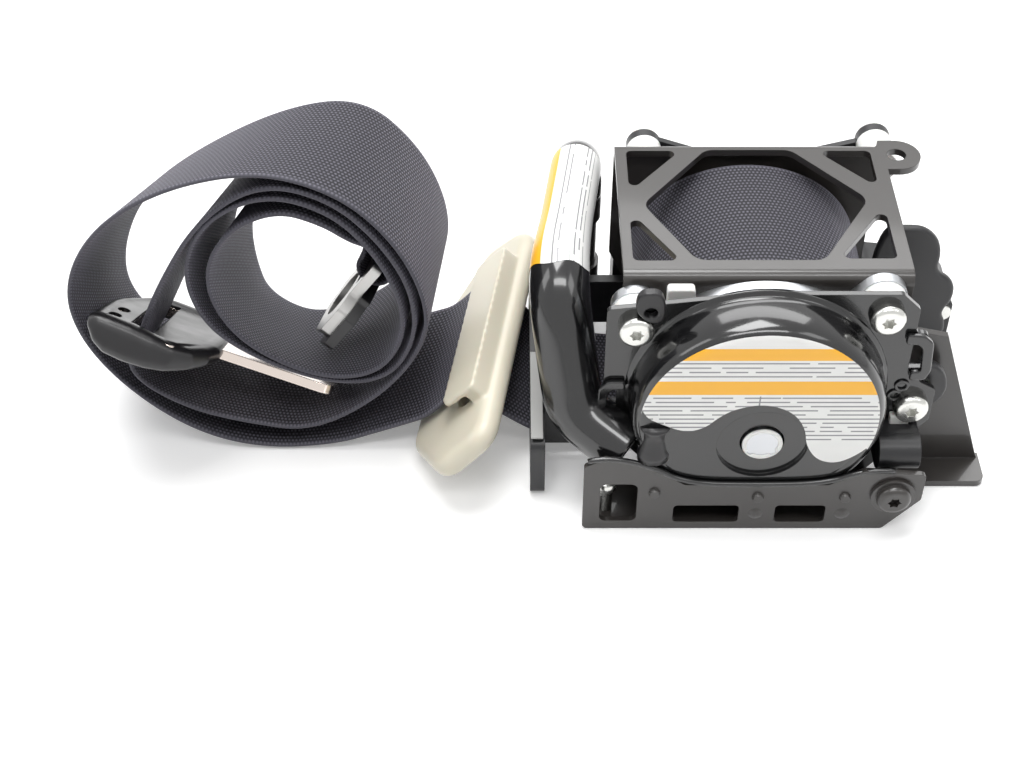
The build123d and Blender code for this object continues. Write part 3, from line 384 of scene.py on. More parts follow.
# Moulded black nylon: fine spark-eroded grain, satin.
BLACK_NYLON = Finish("nylon_moulded_black", "#202022", 0.38, "plastic_black", grain_mm=0.25,
                     grain_depth=0.16, mottle=0.08, rounding_mm=0.4)
# The tongue's moulded nylon: polished tool, smooth satin with soft highlights.
TONGUE_NYLON = Finish("nylon_moulded_satin", "#1b1a1c", 0.33, "plastic_black", coat=0.05, grain_mm=0.8,
                      grain_depth=0.015, mottle=0.08, rounding_mm=0.3)
# Stamped end plate with satin zinc plating: pale grey, even.
SATIN_ZINC = Finish("steel_stamped_zinc_satin", "#b4b3b1", 0.36, metallic=1.0, grain_mm=0.5,
                    grain_depth=0.03, mottle=0.05, smear=0.04, rounding_mm=0.3)
# Grey acetal slide strip of the guide.
GREY_ACETAL = Finish("acetal_moulded_grey", "#9a9a98", 0.34, "plastic_white", grain_mm=0.5,
                     grain_depth=0.03, mottle=0.03)
# Moulded white acetal rings and inner gears.
WHITE_ACETAL = Finish("acetal_moulded_white", "#e9e9e6", 0.35, "plastic_white", grain_mm=0.5,
                      grain_depth=0.03, mottle=0.02, subsurface=0.05, rounding_mm=0.25)
# Moulded nitrile rubber seal.
SEAL_RUBBER = Finish("nitrile_moulded", "#1c1c1c", 0.6, grain_mm=0.4, grain_depth=0.1)
# Charcoal polyester belt webbing, woven and heat-set.
BELT_WEBBING = Webbing("polyester_woven_webbing", "#4d4c53", 0.62, "webbing_charcoal", mottle_mm=30.0)
# Coated paper stickers: bright white, plain amber bands, thin grey rules.
DRUM_STICKER = PrintedLabel("paper_coated_printed_round", "#f4f4f2", 0.34, "plastic_white", coat=0.2,
                            bands=((61.2, 65.2), (49.4, 54.1)), ruled=((54.8, 60.6), (33.0, 48.6)),
                            divider=(62.9, 44.0, 48.8))
TUBE_STICKER = PrintedLabel("paper_coated_printed_strip", "#f4f4f2", 0.34, "plastic_white", coat=0.2,
                            bands=((0.0, 10.2),), ruled=((12.4, 15.0), (17.2, 21.0)), layout=Layout.COLUMNS,
                            pitch_mm=1.3)


NODE_FINISHES: dict[str, Finish] = {
    "retractor_frame": DIP_COAT, "lower_bracket": DIP_COAT, "bracket_bolt": DIP_COAT,
    "gas_generator": DIP_COAT, "drum_cover": GLOSS_COAT, "cover_clamp": BLACK_NYLON,
    "webbing_guide": BLACK_NYLON, "mechanism_cover": BLACK_NYLON, "spring_cover": BLACK_NYLON,
    "base_disc": CAST_ALUMINIUM, "spool": CAST_ALUMINIUM, "lock_head": CAST_ALUMINIUM,
    "drive_wheel": CAST_ALUMINIUM, "drive_balls": CAST_ALUMINIUM, "cover_screws": BRIGHT_ZINC,
    "sensor_screw": BRIGHT_ZINC, "loop_core": BRIGHT_ZINC, "end_plate": SATIN_ZINC, "tongue_blade": CHROME,
    "torsion_bar": GROUND_STEEL, "lock_ring": GROUND_STEEL, "locking_pawl": GROUND_STEEL,
    "return_spring": GROUND_STEEL, "sensor_ball": GROUND_STEEL, "screw_spacers": WHITE_ACETAL,
    "steering_wheel": WHITE_ACETAL, "spring_arbor": WHITE_ACETAL, "sensor_housing": WHITE_ACETAL,
    "sensor_lever": WHITE_ACETAL, "rear_pins": WHITE_ACETAL, "tube_seal": SEAL_RUBBER,
    "end_plate_cover": TONGUE_NYLON,
}


def dress_nodes(frame: dict) -> None:
    """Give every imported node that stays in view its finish.
    """
    for name, finish in NODE_FINISHES.items():
        node = frame["nodes"][name]
        node.data.materials.clear()
        node.data.materials.append(finish.material())
    log.info("dressed %d nodes", len(NODE_FINISHES))


def place(x: float, y: float, z: float) -> Vector:
    """Turn a point of the strap's drawing, in mm, into the scene's metres."""
    return Vector(((x - DRAWING_X) * MM, (y - DRAWING_Y) * MM, z * MM))


def add_object(name: str, data: bpy.types.ID) -> bpy.types.Object:
    """Put a mesh, lamp or camera into the scene.

    Args:
        name: the object's name.
        data: what it shows.

    Returns:
        The new object.
    """
    made = bpy.data.objects.new(name, data)
    bpy.context.scene.collection.objects.link(made)
    return made


def make_piece(name: str, points: list, faces: list, body: str, finish: Finish,
               flat: list | None = None, smooth: bool = True) -> bpy.types.Object:
    """Make a mesh piece that rides on a body and takes its finish's material.

    Args:
        name: the piece's name.
        points: its vertices in metres.
        faces: its faces as tuples of vertex numbers.
        body: the body that it moves with.
        finish: its material.
        flat: for each vertex, its place across and along the flat piece, in metres.
        smooth: whether the faces are shaded smooth.

    Returns:
        The new object.
    """
    mesh = bpy.data.meshes.new(name)
    mesh.from_pydata([tuple(p) for p in points], [], faces)
    if flat:
        layer = mesh.uv_layers.new(name=FLAT_LAYER)
        for loop in mesh.loops:
            layer.data[loop.index].uv = flat[loop.vertex_index]
    mesh.validate()
    mesh.update()
    mesh.polygons.foreach_set("use_smooth", [smooth] * len(mesh.polygons))
    piece = add_object(name, mesh)
    mesh.materials.append(finish.material())
    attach(piece, body)
    return piece


def band_faces(rings: int, count: int, closed: bool = True, caps: bool = False,
               first: int = 0) -> list[tuple[int, ...]]:
    """Join rows of points into bands of faces.

    Args:
        rings: how many rows there are.
        count: how many points each row has.
        closed: whether each row runs round and closes on itself.
        caps: whether the first and the last row are filled.
        first: the number of the first point.

    Returns:
        The faces as tuples of vertex numbers.
    """
    faces = []
    for i in range(rings - 1):
        base = first + i * count
        for k in range(count if closed else count - 1):
            n = (k + 1) % count
            faces.append((base + k, base + n, base + count + n, base + count + k))
    if caps:
        last = first + (rings - 1) * count
        faces += [tuple(range(first, first + count))[::-1], tuple(range(last, last + count))]
    return faces


def read_curve(curve: bpy.types.Curve) -> tuple[list[Vector], list[tuple[int, ...]]]:
    """Read the mesh that a curve gives, and delete the curve.

    Args:
        curve: the curve.

    Returns:
        The mesh's points and its faces as tuples of vertex numbers.
    """
    holder = bpy.data.objects.new("holder", curve)
    mesh = bpy.data.meshes.new_from_object(holder)
    points = [v.co.copy() for v in mesh.vertices]
    faces = [tuple(p.vertices) for p in mesh.polygons]
    bpy.data.objects.remove(holder)
    bpy.data.curves.remove(curve)
    bpy.data.meshes.remove(mesh)
    return points, faces


def along_line(line: list[Vector], i: int) -> Vector:
    """Give a line's direction at one of its points, as the way from the point before to the next."""
    return line[min(i + 1, len(line) - 1)] - line[max(i - 1, 0)]


def spline_points(corners: list[Vector], steps: int = 10) -> list[Vector]:
    """Read the points of a smooth NURBS line that goes round the given corners.

    Args:
        corners: the line's control points.
        steps: how finely each span is drawn.

    Returns:
        Points along the line.
    """
    curve = bpy.data.curves.new("line", "CURVE")
    curve.dimensions = "3D"
    curve.resolution_u = steps
    line = curve.splines.new("NURBS")
    line.points.add(len(corners) - 1)
    for point, corner in zip(line.points, corners):
        point.co = (*corner, 1.0)
    line.order_u = 3
    line.use_endpoint_u = True
    return read_curve(curve)[0]


def keep_shape(piece: bpy.types.Object) -> None:
    """Turn what a piece's modifiers give into its own mesh.

    Args:
        piece: the piece.
    """
    piece_now = piece.evaluated_get(bpy.context.evaluated_depsgraph_get())
    mesh = bpy.data.meshes.new_from_object(piece_now)
    piece.modifiers.clear()
    piece.data = mesh


def fuse(piece: bpy.types.Object, voxel_mm: float, rounds: int) -> None:
    """Fuse a piece's overlapping lumps into one skin and soften every edge of it.

    Args:
        piece: the piece, made of closed lumps.
        voxel_mm: the size of the grid that it is fused on.
        rounds: how many times the skin is smoothed.
    """
    skin = piece.modifiers.new("skin", "REMESH")
    skin.mode = "VOXEL"
    skin.voxel_size = voxel_mm * MM
    skin.use_smooth_shade = True
    soft = piece.modifiers.new("soft", "SMOOTH")
    soft.factor = 0.5
    soft.iterations = rounds
    bpy.context.view_layer.update()
    keep_shape(piece)


def soften_node(frame: dict, node: str, name: str, body: str, finish: Finish, voxel_mm: float = 0.5,
                rounds: int = 6) -> bpy.types.Object:
    """Stand a soft-edged skin in for a moulded node whose edges are sharper than the real one's.

    Args:
        node: the node to stand for.
        name: the new piece's name.
        body: the body that it moves with.
        finish: its material.
        voxel_mm: the size of the grid that it is fused on.
        rounds: how soft its edges are.

    Returns:
        The new piece.
    """
    piece = add_object(name, frame["nodes"][node].data.copy())
    fuse(piece, voxel_mm, rounds)
    piece.data.materials.clear()
    piece.data.materials.append(finish.material())
    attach(piece, body)
    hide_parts(node)
    log.info("%s: %d points", name, len(piece.data.vertices))
    return piece


def circle(x: float, z: float, radius: float, count: int = 32) -> list[tuple[float, float]]:
    """Give the points round a circle, anticlockwise from its right."""
    return [(x + radius * math.cos(math.tau * k / count), z + radius * math.sin(math.tau * k / count))
            for k in range(count)]


def eased(corners: list[tuple[float, float]], rounds: int = 3) -> list[tuple[float, float]]:
    """Round the corners of a closed outline by cutting them again and again.

    Args:
        corners: the outline, in mm.
        rounds: how many times each corner is cut.

    Returns:
        The rounded outline.
    """
    for _ in range(rounds):
        cut = []
        for (ax, az), (bx, bz) in zip(corners, corners[1:] + corners[:1]):
            cut += [(ax * t + bx * (1 - t), az * t + bz * (1 - t)) for t in (0.75, 0.25)]
        corners = cut
    return corners


def rounded(corners: list[tuple[float, float]], radius: float) -> list[tuple[float, float]]:
    """Round each corner of a closed outline by about a radius.

    Args:
        corners: the outline, in mm.
        radius: the corners' radius in mm, less where a side is short.

    Returns:
        The rounded outline.
    """
    out = []
    for before, at, after in zip(corners[-1:] + corners[:-1], corners, corners[1:] + corners[:1]):
        ends = []
        for other in (before, after):
            far = math.dist(at, other)
            step = min(radius, far * 0.45) / far
            ends.append((at[0] + (other[0] - at[0]) * step, at[1] + (other[1] - at[1]) * step))
        for k in range(5):
            t = k / 4
            out.append(tuple(ends[0][i] * (1 - t) ** 2 + at[i] * 2 * t * (1 - t) + ends[1][i] * t ** 2
                             for i in (0, 1)))
    return out


def cut_plate(name: str, outlines: list[list[tuple[float, float]]], front: float, thick: float,
              finish: Finish, edge: float) -> bpy.types.Object:
    """Cut an upright plate on the retractor, with holes and rounded edges, facing the front.

    Args:
        name: the piece's name.
        outlines: its outline and then its holes, as x and z in mm.
        front: where its front face lies in y, in mm.
        thick: its thickness in mm.
        finish: its material.
        edge: the radius of its edges in mm.

    Returns:
        The plate.
    """
    curve = bpy.data.curves.new(name, "CURVE")
    curve.dimensions = "2D"
    curve.fill_mode = "BOTH"
    curve.extrude = thick / 2 - edge
    curve.bevel_depth = edge
    curve.bevel_resolution = 2
    curve.offset = -edge
    for outline in outlines:
        line = curve.splines.new("POLY")
        line.points.add(len(outline) - 1)
        for point, (x, z) in zip(line.points, outline):
            point.co = (x, z, 0.0, 1.0)
        line.use_cyclic_u = True
    corners, faces = read_curve(curve)
    points = [place(c.x, front + thick / 2 - c.z, c.y) for c in corners]
    return make_piece(name, points, faces, "retractor", finish, smooth=False)


@dataclass
class BeltStrap:
    """The belt's whole free strap, from the reel through the guide, loop and tongue to its sewn end.

    Each corner of a route gives x and z of the near edge in mm, then the far edge's shift in x
    and z, then the shift in y of the near and the far edge. Where the edges come closer than
    folded_share of the width, the strap bunches and gets thicker.
    """

    width: float = 47.0
    thick: float = 1.2
    columns: int = 24
    folded_share: float = 0.93
    bunching: float = 2.2
    lead: tuple = (
        (43.0, 11.0), (35.0, 22.0), (32.6, 38.0), (40.0, 56.0), (56.0, 65.2), (75.0, 65.2), (91.0, 56.0),
        (99.0, 40.0), (98.0, 22.0), (87.0, 8.0), (70.0, 1.2), (50.0, 0.7), (30.0, 1.4), (17.0, 3.2),
        (7.2, 6.8, 1.0), (-5.9, 16.8, 7.0), (-14.2, 24.6, 7.0), (-23.3, 13.4, 7.0), (-28.6, 11.0, 5.6))
    outer: tuple = (
        (-28.6, 11.0, 5.6), (-38.0, 7.2, 3.0), (-50.0, 2.4), (-70.0, 0.7, -2.0, 0.0),
        (-88.0, 6.8, -2.0, -5.6), (-104.0, 22.0, -2.0, -14.0), (-115.0, 41.0, 1.0, -19.0),
        (-117.0, 60.0, 4.5, -22.0), (-107.0, 79.0, 3.0, -23.0), (-88.0, 92.6, 2.0, -21.6),
        (-63.0, 98.4, 3.0, -13.4), (-43.0, 91.0, 3.0, -3.4), (-30.0, 76.0, 3.6, -3.0),
        (-23.0, 58.0, 4.0, -3.0), (-22.6, 42.0, 4.2, -4.0), (-35.0, 22.2, 6.4, -7.0),
        (-56.0, 7.4, 6.0, -4.2), (-74.0, 10.8, 4.0, -6.8), (-91.0, 18.6, 2.0, -12.0, -1.5, -4.0),
        (-104.4, 34.6, -1.0, -21.0, -4.0, -11.0), (-98.9, 46.1, -2.3, -26.4, -2.2, -10.4))
    inner: tuple = (
        (-98.9, 46.1, -2.3, -26.4, -2.2, -10.4), (-91.6, 62.5, 1.0, -22.0, -1.0, -5.0),
        (-79.0, 83.0, 3.0, -19.5), (-62.0, 94.6, 3.0, -13.6), (-45.0, 89.0, 3.0, -4.6),
        (-33.2, 75.0, 3.6, -3.4), (-26.2, 59.0, 4.0, -3.2), (-25.8, 42.0, 4.4, -3.6),
        (-34.0, 27.4, 6.4, -7.0), (-50.0, 26.0, -4.0, -18.6), (-70.0, 36.0, -4.0, -24.0),
        (-82.0, 48.0, 2.0, -21.0), (-85.5, 66.0, 4.5, -22.0), (-78.5, 82.0, 4.5, -20.0),
        (-62.0, 91.2, 3.0, -13.8), (-46.0, 85.6, 3.0, -5.0), (-35.8, 73.0, 3.6, -3.6),
        (-29.4, 57.0, 3.8, -3.2), (-28.8, 42.5, 4.2, -3.4), (-36.6, 29.4, 4.6, -5.76),
        (-52.0, 27.7, -4.0, -19.1), (-70.3, 38.9, -2.0, -21.22), (-78.6, 53.0, 3.4, -20.0),
        (-79.4, 67.0, 4.6, -19.0), (-72.0, 79.6, 3.4, -17.0), (-59.0, 86.0, 3.0, -11.4),
        (-48.0, 81.6, 2.4, -5.2), (-41.6, 74.5, 2.4, -4.6, 2.0, -1.0), (-38.0, 67.0, 3.0, -3.6, 9.0, -4.0),
        (-37.6, 59.6, 4.0, -3.2, 16.5, -8.5))

    def edges(self) -> tuple[list[Vector], list[Vector]]:
        """Run both edges along the whole route.

        Returns:
            Matching points on the near and on the far edge.
        """
        corners = self.lead + self.outer[1:] + self.inner[1:]
        route = [corner + (0.0,) * (6 - len(corner)) for corner in corners]
        half = self.width / 2
        near = spline_points([place(x, dn - half, z) for x, z, _, _, dn, _ in route])
        far = spline_points([place(x + dx, df + half, z + dz) for x, z, dx, dz, _, df in route])
        return near, far

    def build(self) -> bpy.types.Object:
        """Weave the strap along its route and put it in place of its plain solids.

        Returns:
            The strap.
        """
        near, far = self.edges()
        points, flat = [], []
        length = 0.0
        ring = self.section()
        for i, (a, b) in enumerate(zip(near, far)):
            along = along_line(near, i) + along_line(far, i)
            up = (b - a).cross(along).normalized() * (self.thick / 2 * MM)
            if i:
                length += ((a + b) / 2 - (near[i - 1] + far[i - 1]) / 2).length
            pinch = max(0.0, 1.0 - (b - a).length / (self.width * MM * self.folded_share))
            fold = 1.0 + self.bunching * pinch
            for share, lift in ring:
                points.append(a + (b - a) * share + up * lift * fold)
                flat.append((share * self.width * MM, length))
        faces = band_faces(len(near), len(ring), caps=True)
        strap = make_piece("belt_strap", points, faces, "retractor", BELT_WEBBING, flat)
        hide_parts("webbing_lead", "webbing_outer_turn", "webbing_inner_turns")
        log.info("belt_strap: %.0f mm long", length / MM)
        return strap

    def section(self) -> list[tuple[float, float]]:
        """Draw the strap's cross-section, with rounded selvedges.

        Returns:
            Points round it, as shares of the width and of half the thickness.
        """
        upper = [(0.0, 0.0), (0.006, 0.7)]
        upper += [(0.018 + 0.964 * k / self.columns, 1.0) for k in range(self.columns + 1)]
        upper += [(0.994, 0.7), (1.0, 0.0)]
        return upper + [(share, -lift) for share, lift in upper[-2:0:-1]]


@dataclass
class WoundRoll:
    """The strap that is wound on the reel: a spiral whose last ply ends where the free strap leaves.

    An edge's points give the distance in radius and how far they lie inside the roll's side.
    """

    centre_x: float = 65.2
    centre_z: float = 31.0
    core: float = 11.0
    radius: float = 27.3
    width: float = 46.9
    ply: float = 1.2
    leave_deg: float = 222.0
    steps: int = 128
    columns: int = 16
    ply_edge: tuple = ((0.0, 0.4), (0.25, 0.0), (0.85, 0.0))
    outer_edge: tuple = ((0.25, 0.1), (0.0, 0.45))

    def build(self) -> bpy.types.Object:
        """Wind the strap and put it in place of its plain ring.

        Returns:
            The roll.
        """
        points, flat = [], []
        profile = self.profile()
        for i in range(self.steps + 1):
            share = i / self.steps
            angle = math.radians(self.leave_deg) + math.tau * share
            for radius, y in profile:
                shrink = self.ply * share if radius > self.core + self.ply else 0.0
                x, z = (radius - shrink) * math.cos(angle), (radius - shrink) * math.sin(angle)
                points.append(place(self.centre_x + x, y, self.centre_z + z))
                flat.append(((y + self.width / 2) * MM, angle * self.radius * MM))
        faces = band_faces(self.steps + 1, len(profile), closed=False)
        roll = make_piece("wound_strap", points, faces, "reel", BELT_WEBBING, flat)
        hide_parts("wound_webbing")
        log.info("wound_strap: %d points", len(points))
        return roll

    def profile(self) -> list[tuple[float, float]]:
        """Draw half the roll's section: ply edges up one side, across, and back down.

        Returns:
            Points as radius and y, in mm.
        """
        half = self.width / 2
        side = []
        for k in range(int((self.radius - self.core) / self.ply)):
            side += [(self.core + self.ply * k + out, half - drop) for out, drop in self.ply_edge]
        side += [(self.radius - back, half - drop) for back, drop in self.outer_edge]
        inside = self.outer_edge[-1][1]
        middle = [(self.radius, half - inside - (self.width - 2 * inside) * k / self.columns)
                  for k in range(1, self.columns)]
        return side + middle + [(r, -y) for r, y in reversed(side)]


@dataclass
class SewnEnd:
    """The strap's end, folded round the end plate's bar and sewn to itself.

    Lean is the pull's direction, as shares of the plate's down and face directions; neck is
    where the plies leave the bar, as shares of the fold's radius; slack is how far the spline's
    corners lie outside the fold.
    """

    bar: tuple = (-36.1, -2.0, 52.2)
    down: tuple = (-0.592, 0.0, -0.806)
    face: tuple = (0.78, -0.249, -0.573)
    wide: float = 22.0
    shift: float = 6.0
    mid_radius: float = 4.75
    thick: float = 1.1
    reach: float = 10.5
    lean: tuple = (-0.806, -0.573)
    neck: tuple = (1.5, 0.55)
    ply_gap: float = 0.75
    slack: float = 1.045
    crown: float = 0.35
    columns: int = 12

    def build(self) -> bpy.types.Object:
        """Fold the strap's end and put it in place of its plain ring.

        Returns:
            The folded end.
        """
        w, n = Vector(self.down).normalized(), Vector(self.face).normalized()
        across = n.cross(w)
        apex = (w * self.lean[0] + n * self.lean[1]).normalized()
        beside = across.cross(apex)
        r = self.mid_radius * MM
        end, gap = apex * (self.reach * MM), beside * (self.ply_gap * MM)
        out, wide = apex * (r * self.neck[0]), beside * (r * self.neck[1])
        turn = [end + gap, out + wide]
        for deg in range(40, 321, 35):
            a = math.radians(deg)
            turn.append((apex * math.cos(a) + beside * math.sin(a)) * r * self.slack)
        line = spline_points(turn + [out - wide, end - gap], 8)
        centre = place(*self.bar)
        points, flat = [], []
        length = 0.0
        ring = BeltStrap(columns=self.columns).section()
        for i, here in enumerate(line):
            up = along_line(line, i).cross(across).normalized() * (self.thick / 2 * MM)
            if i:
                length += (here - line[i - 1]).length
            for share, lift in ring:
                side = (self.shift + (share - 0.5) * self.wide) * MM
                crown = 1.0 + self.crown * (1 - (2 * share - 1) ** 2)
                points.append(centre + here + across * side + up * lift * crown)
                flat.append((share * BELT_WEBBING.width_mm * MM, length))
        faces = band_faces(len(line), len(ring), caps=True)
        folded = make_piece("sewn_strap_end", points, faces, "retractor", BELT_WEBBING, flat)
        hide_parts("sewn_end")
        log.info("sewn_strap_end: %.0f mm folded", length / MM)
        return folded


@dataclass
class DrumSticker:
    """The round sticker on the drum cover's face, cut away round the hub."""

    centre: tuple = (63.6, 38.4)
    radius: float = 30.8
    face_y: float = -51.5
    flat_radius: float = 29.0
    shoulder: float = 3.6
    lift: float = 0.14
    lower: tuple = ((32.7, 45.0), (34.0, 41.4), (38.0, 39.0), (44.6, 35.8), (49.7, 37.4), (52.7, 41.0),
                    (56.6, 44.2), (64.0, 46.2), (71.4, 43.6), (75.6, 37.6), (76.6, 30.6), (80.6, 24.8),
                    (87.5, 24.4), (92.4, 29.8))
    rows: int = 26
    left_columns: int = 6
    right_columns: int = 8
    shoulder_reach: float = 3.0

    def build(self) -> bpy.types.Object:
        """Cut the sticker and lay it over the drum's face and shoulder.

        Returns:
            The sticker.
        """
        lower = [(p.x, p.z) for p in spline_points([Vector((x, 0, z)) for x, z in self.lower], 8)]
        left, right = self.centre[0] - self.radius, self.centre[0] + self.radius
        before = [left + (lower[0][0] - left) * (k / self.left_columns) ** 2
                  for k in range(self.left_columns)]
        after = [right - (right - lower[-1][0]) * (k / self.right_columns) ** 2
                 for k in reversed(range(self.right_columns))]
        bottoms = [(x, self.rim(x, -1)) for x in before] + lower + [(x, self.rim(x, -1)) for x in after]
        points, flat = [], []
        for x, low in bottoms:
            high = self.rim(x, 1)
            low = min(max(low, self.rim(x, -1)), high)
            for k in range(self.rows + 1):
                z = low + (high - low) * (0.5 - 0.5 * math.cos(math.pi * k / self.rows))
                y = self.depth(x, z)
                points.append(place(x, y, z))
                flat.append((x * MM, (z + y - self.depth(*self.centre)) * MM))
        # Turned over, because the columns run from left to right and the print faces the front.
        faces = [(a, d, c, b) for a, b, c, d in band_faces(len(bottoms), self.rows + 1, closed=False)]
        sticker = make_piece("drum_sticker", points, faces, "retractor", DRUM_STICKER, flat)
        log.info("drum_sticker placed")
        return sticker

    def rim(self, x: float, side: int) -> float:
        """Height of the sticker's round rim at x, above (side 1) or below (side -1) its middle."""
        square = self.radius ** 2 - (x - self.centre[0]) ** 2
        return self.centre[1] + side * math.sqrt(max(0.0, square))

    def depth(self, x: float, z: float) -> float:
        """Where the drum's surface lies in y at a point of its face, with the sticker's lift."""
        over = max(0.0, math.hypot(x - self.centre[0], z - self.centre[1]) - self.flat_radius)
        fall = self.shoulder - math.sqrt(self.shoulder ** 2 - min(over, self.shoulder_reach) ** 2)
        return self.face_y - self.lift + fall


@dataclass
class DrumBead:
    """The drum cover's full round shoulder, turned over its pressed edge."""

    centre: tuple = (64.0, 38.0)
    profile: tuple = ((26.6, -51.35), (28.4, -51.56), (29.9, -51.4), (31.2, -50.7), (32.2, -49.4),
                      (32.8, -47.4), (33.1, -44.8), (33.1, -42.2), (32.9, -39.9), (33.3, -38.7),
                      (34.6, -38.2), (34.6, -37.9))
    sides: int = 144

    def build(self) -> bpy.types.Object:
        """Turn the shoulder.

        Returns:
            The bead.
        """
        line = spline_points([Vector((r, y, 0)) for r, y in self.profile], 4)
        points = []
        for p in line:
            points += [place(x, p.y, z) for x, z in circle(*self.centre, p.x, self.sides)]
        bead = make_piece("drum_bead", points, band_faces(len(line), self.sides), "retractor", GLOSS_COAT)
        log.info("drum_bead turned")
        return bead


@dataclass
class BallTube:
    """The bent gloss-coated tube for the drive balls, with its wrapped sticker.

    The sticker runs from one y to the other along the tube's upper run and goes round it by
    sticker_sweep_deg from sticker_start_deg; its front edge is torn in a slight wave.
    """

    radius: float = 7.0
    low_radius: float = 8.1
    wall: float = 1.6
    route: tuple = ((19.0, 35.2, 47.0), (19.0, 35.2, 62.0), (11.6, -21.0, 62.0), (16.6, -35.0, 28.0),
                    (31.0, -44.0, 21.5))
    bends: tuple = (9.5, 16.0, 12.0)
    arc_steps: int = 16
    swage_from_y: float = 5.0
    swage_length: float = 30.0
    sides: int = 48
    sticker_y: tuple = (28.0, -16.5)
    sticker_above_z: float = 60.0
    sticker_start_deg: float = 205.0
    sticker_sweep_deg: float = 215.0
    sticker_columns: int = 30
    sticker_lift: float = 0.09
    tear: float = 0.5

    def line(self) -> list[Vector]:
        """Bend the tube's middle line, with its bends as fine arcs.

        Returns:
            Points along it, in drawing mm.
        """
        corners = [Vector(c) for c in self.route]
        line = [corners[0]]
        for i, radius in enumerate(self.bends, start=1):
            a = (corners[i - 1] - corners[i]).normalized()
            b = (corners[i + 1] - corners[i]).normalized()
            half = a.angle(b) / 2
            middle = corners[i] + (a + b).normalized() * (radius / math.sin(half))
            start = corners[i] + a * (radius / math.tan(half)) - middle
            sweep = math.pi - 2 * half
            axis = start.cross(corners[i] + b * (radius / math.tan(half)) - middle).normalized()
            for k in range(self.arc_steps + 1):
                turn = sweep * k / self.arc_steps
                side = axis.cross(start)
                line.append(middle + start * math.cos(turn) + side * math.sin(turn))
        return self.relax(self.even(line + [corners[-1]]))

    def wide(self, at: Vector) -> float:
        """Outer radius at a point: the lower bend is swaged wider to feed the wheel."""
        share = min(1.0, max(0.0, (self.swage_from_y - at.y) / self.swage_length))
        return self.radius + (self.low_radius - self.radius) * share * share * (3 - 2 * share)

    def relax(self, line: list[Vector], rounds: int = 14) -> list[Vector]:
        """Ease the bends into the straight runs, as a mandrel leaves them; the ends stay.

        Args:
            line: points along the line.
            rounds: how many times each point moves towards its neighbours.

        Returns:
            The eased line.
        """
        for _ in range(rounds):
            inside = [(a + b * 2 + c) / 4 for a, b, c in zip(line, line[1:], line[2:])]
            line = [line[0]] + inside + [line[-1]]
        return line

    def even(self, line: list[Vector], step: float = 1.0) -> list[Vector]:
        """Space a line's points evenly, so that shading and print run evenly along it.

        Args:
            line: points along the line.
            step: the distance between points, in mm.

        Returns:
            The points of the same line, evenly spaced.
        """
        out = [line[0]]
        for a, b in zip(line, line[1:]):
            count = max(1, round((b - a).length / step))
            out += [a.lerp(b, k / count) for k in range(1, count + 1)]
        return out

    def frames(self, line: list[Vector]) -> list[tuple[Vector, Vector]]:
        """Find two directions square to the line that don't twist along it.

        Args:
            line: points along the line.

        Returns:
            The two directions at each point.
        """
        frames = []
        side = Vector((1, 0, 0))
        for i in range(len(line)):
            along = along_line(line, i).normalized()
            side = (side - along * side.dot(along)).normalized()
            frames.append((side, along.cross(side)))
        return frames

    def build(self) -> bpy.types.Object:
        """Bend the tube and put it in place of its faceted solid.

        Returns:
            The tube.
        """
        line = self.line()
        frames = self.frames(line)
        rings = [(i, self.wide(line[i])) for i in range(len(line))]
        rings += [(i, self.wide(line[i]) - self.wall) for i in reversed(range(len(line)))]
        points = []
        for i, radius in rings:
            u, v = frames[i]
            for k in range(self.sides):
                a = math.tau * k / self.sides
                points.append(place(*(line[i] + (u * math.cos(a) + v * math.sin(a)) * radius)))
        # One row more than there is, so that the bore's last row joins the outside's first.
        faces = [tuple(v % len(points) for v in face) for face in band_faces(len(rings) + 1, self.sides)]
        tube = make_piece("bent_ball_tube", points, faces, "retractor", GLOSS_COAT)
        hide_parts("ball_tube")
        self.sticker(line, frames)
        log.info("bent_ball_tube: %d points", len(points))
        return tube

    def sticker(self, line: list[Vector], frames: list[tuple[Vector, Vector]]) -> bpy.types.Object:
        """Wrap the white sticker over the tube's upper run.

        Args:
            line: the tube's middle line.
            frames: the two directions at each of its points.

        Returns:
            The sticker.
        """
        back, front = self.sticker_y
        first = next(i for i, p in enumerate(line) if p.z > self.sticker_above_z and p.y < back)
        last = next(i for i, p in enumerate(line) if p.y < front)
        start = math.radians(self.sticker_start_deg)
        points, flat = [], []
        for i in range(first, last + 1):
            u, v = frames[i]
            for k in range(self.sticker_columns + 1):
                a = math.radians(self.sticker_start_deg - self.sticker_sweep_deg * k / self.sticker_columns)
                wave = self.tear * math.sin(k * 0.55) if i == last else 0.0
                at = line[i] + (line[i] - line[i - 1]).normalized() * wave
                out = (u * math.cos(a) + v * math.sin(a)) * (self.wide(line[i]) + self.sticker_lift)
                points.append(place(*(at + out)))
                flat.append(((start - a) * self.radius * MM, (i - first) * MM))
        faces = band_faces(last - first + 1, self.sticker_columns + 1, closed=False)
        return make_piece("tube_sticker", points, faces, "retractor", TUBE_STICKER, flat)


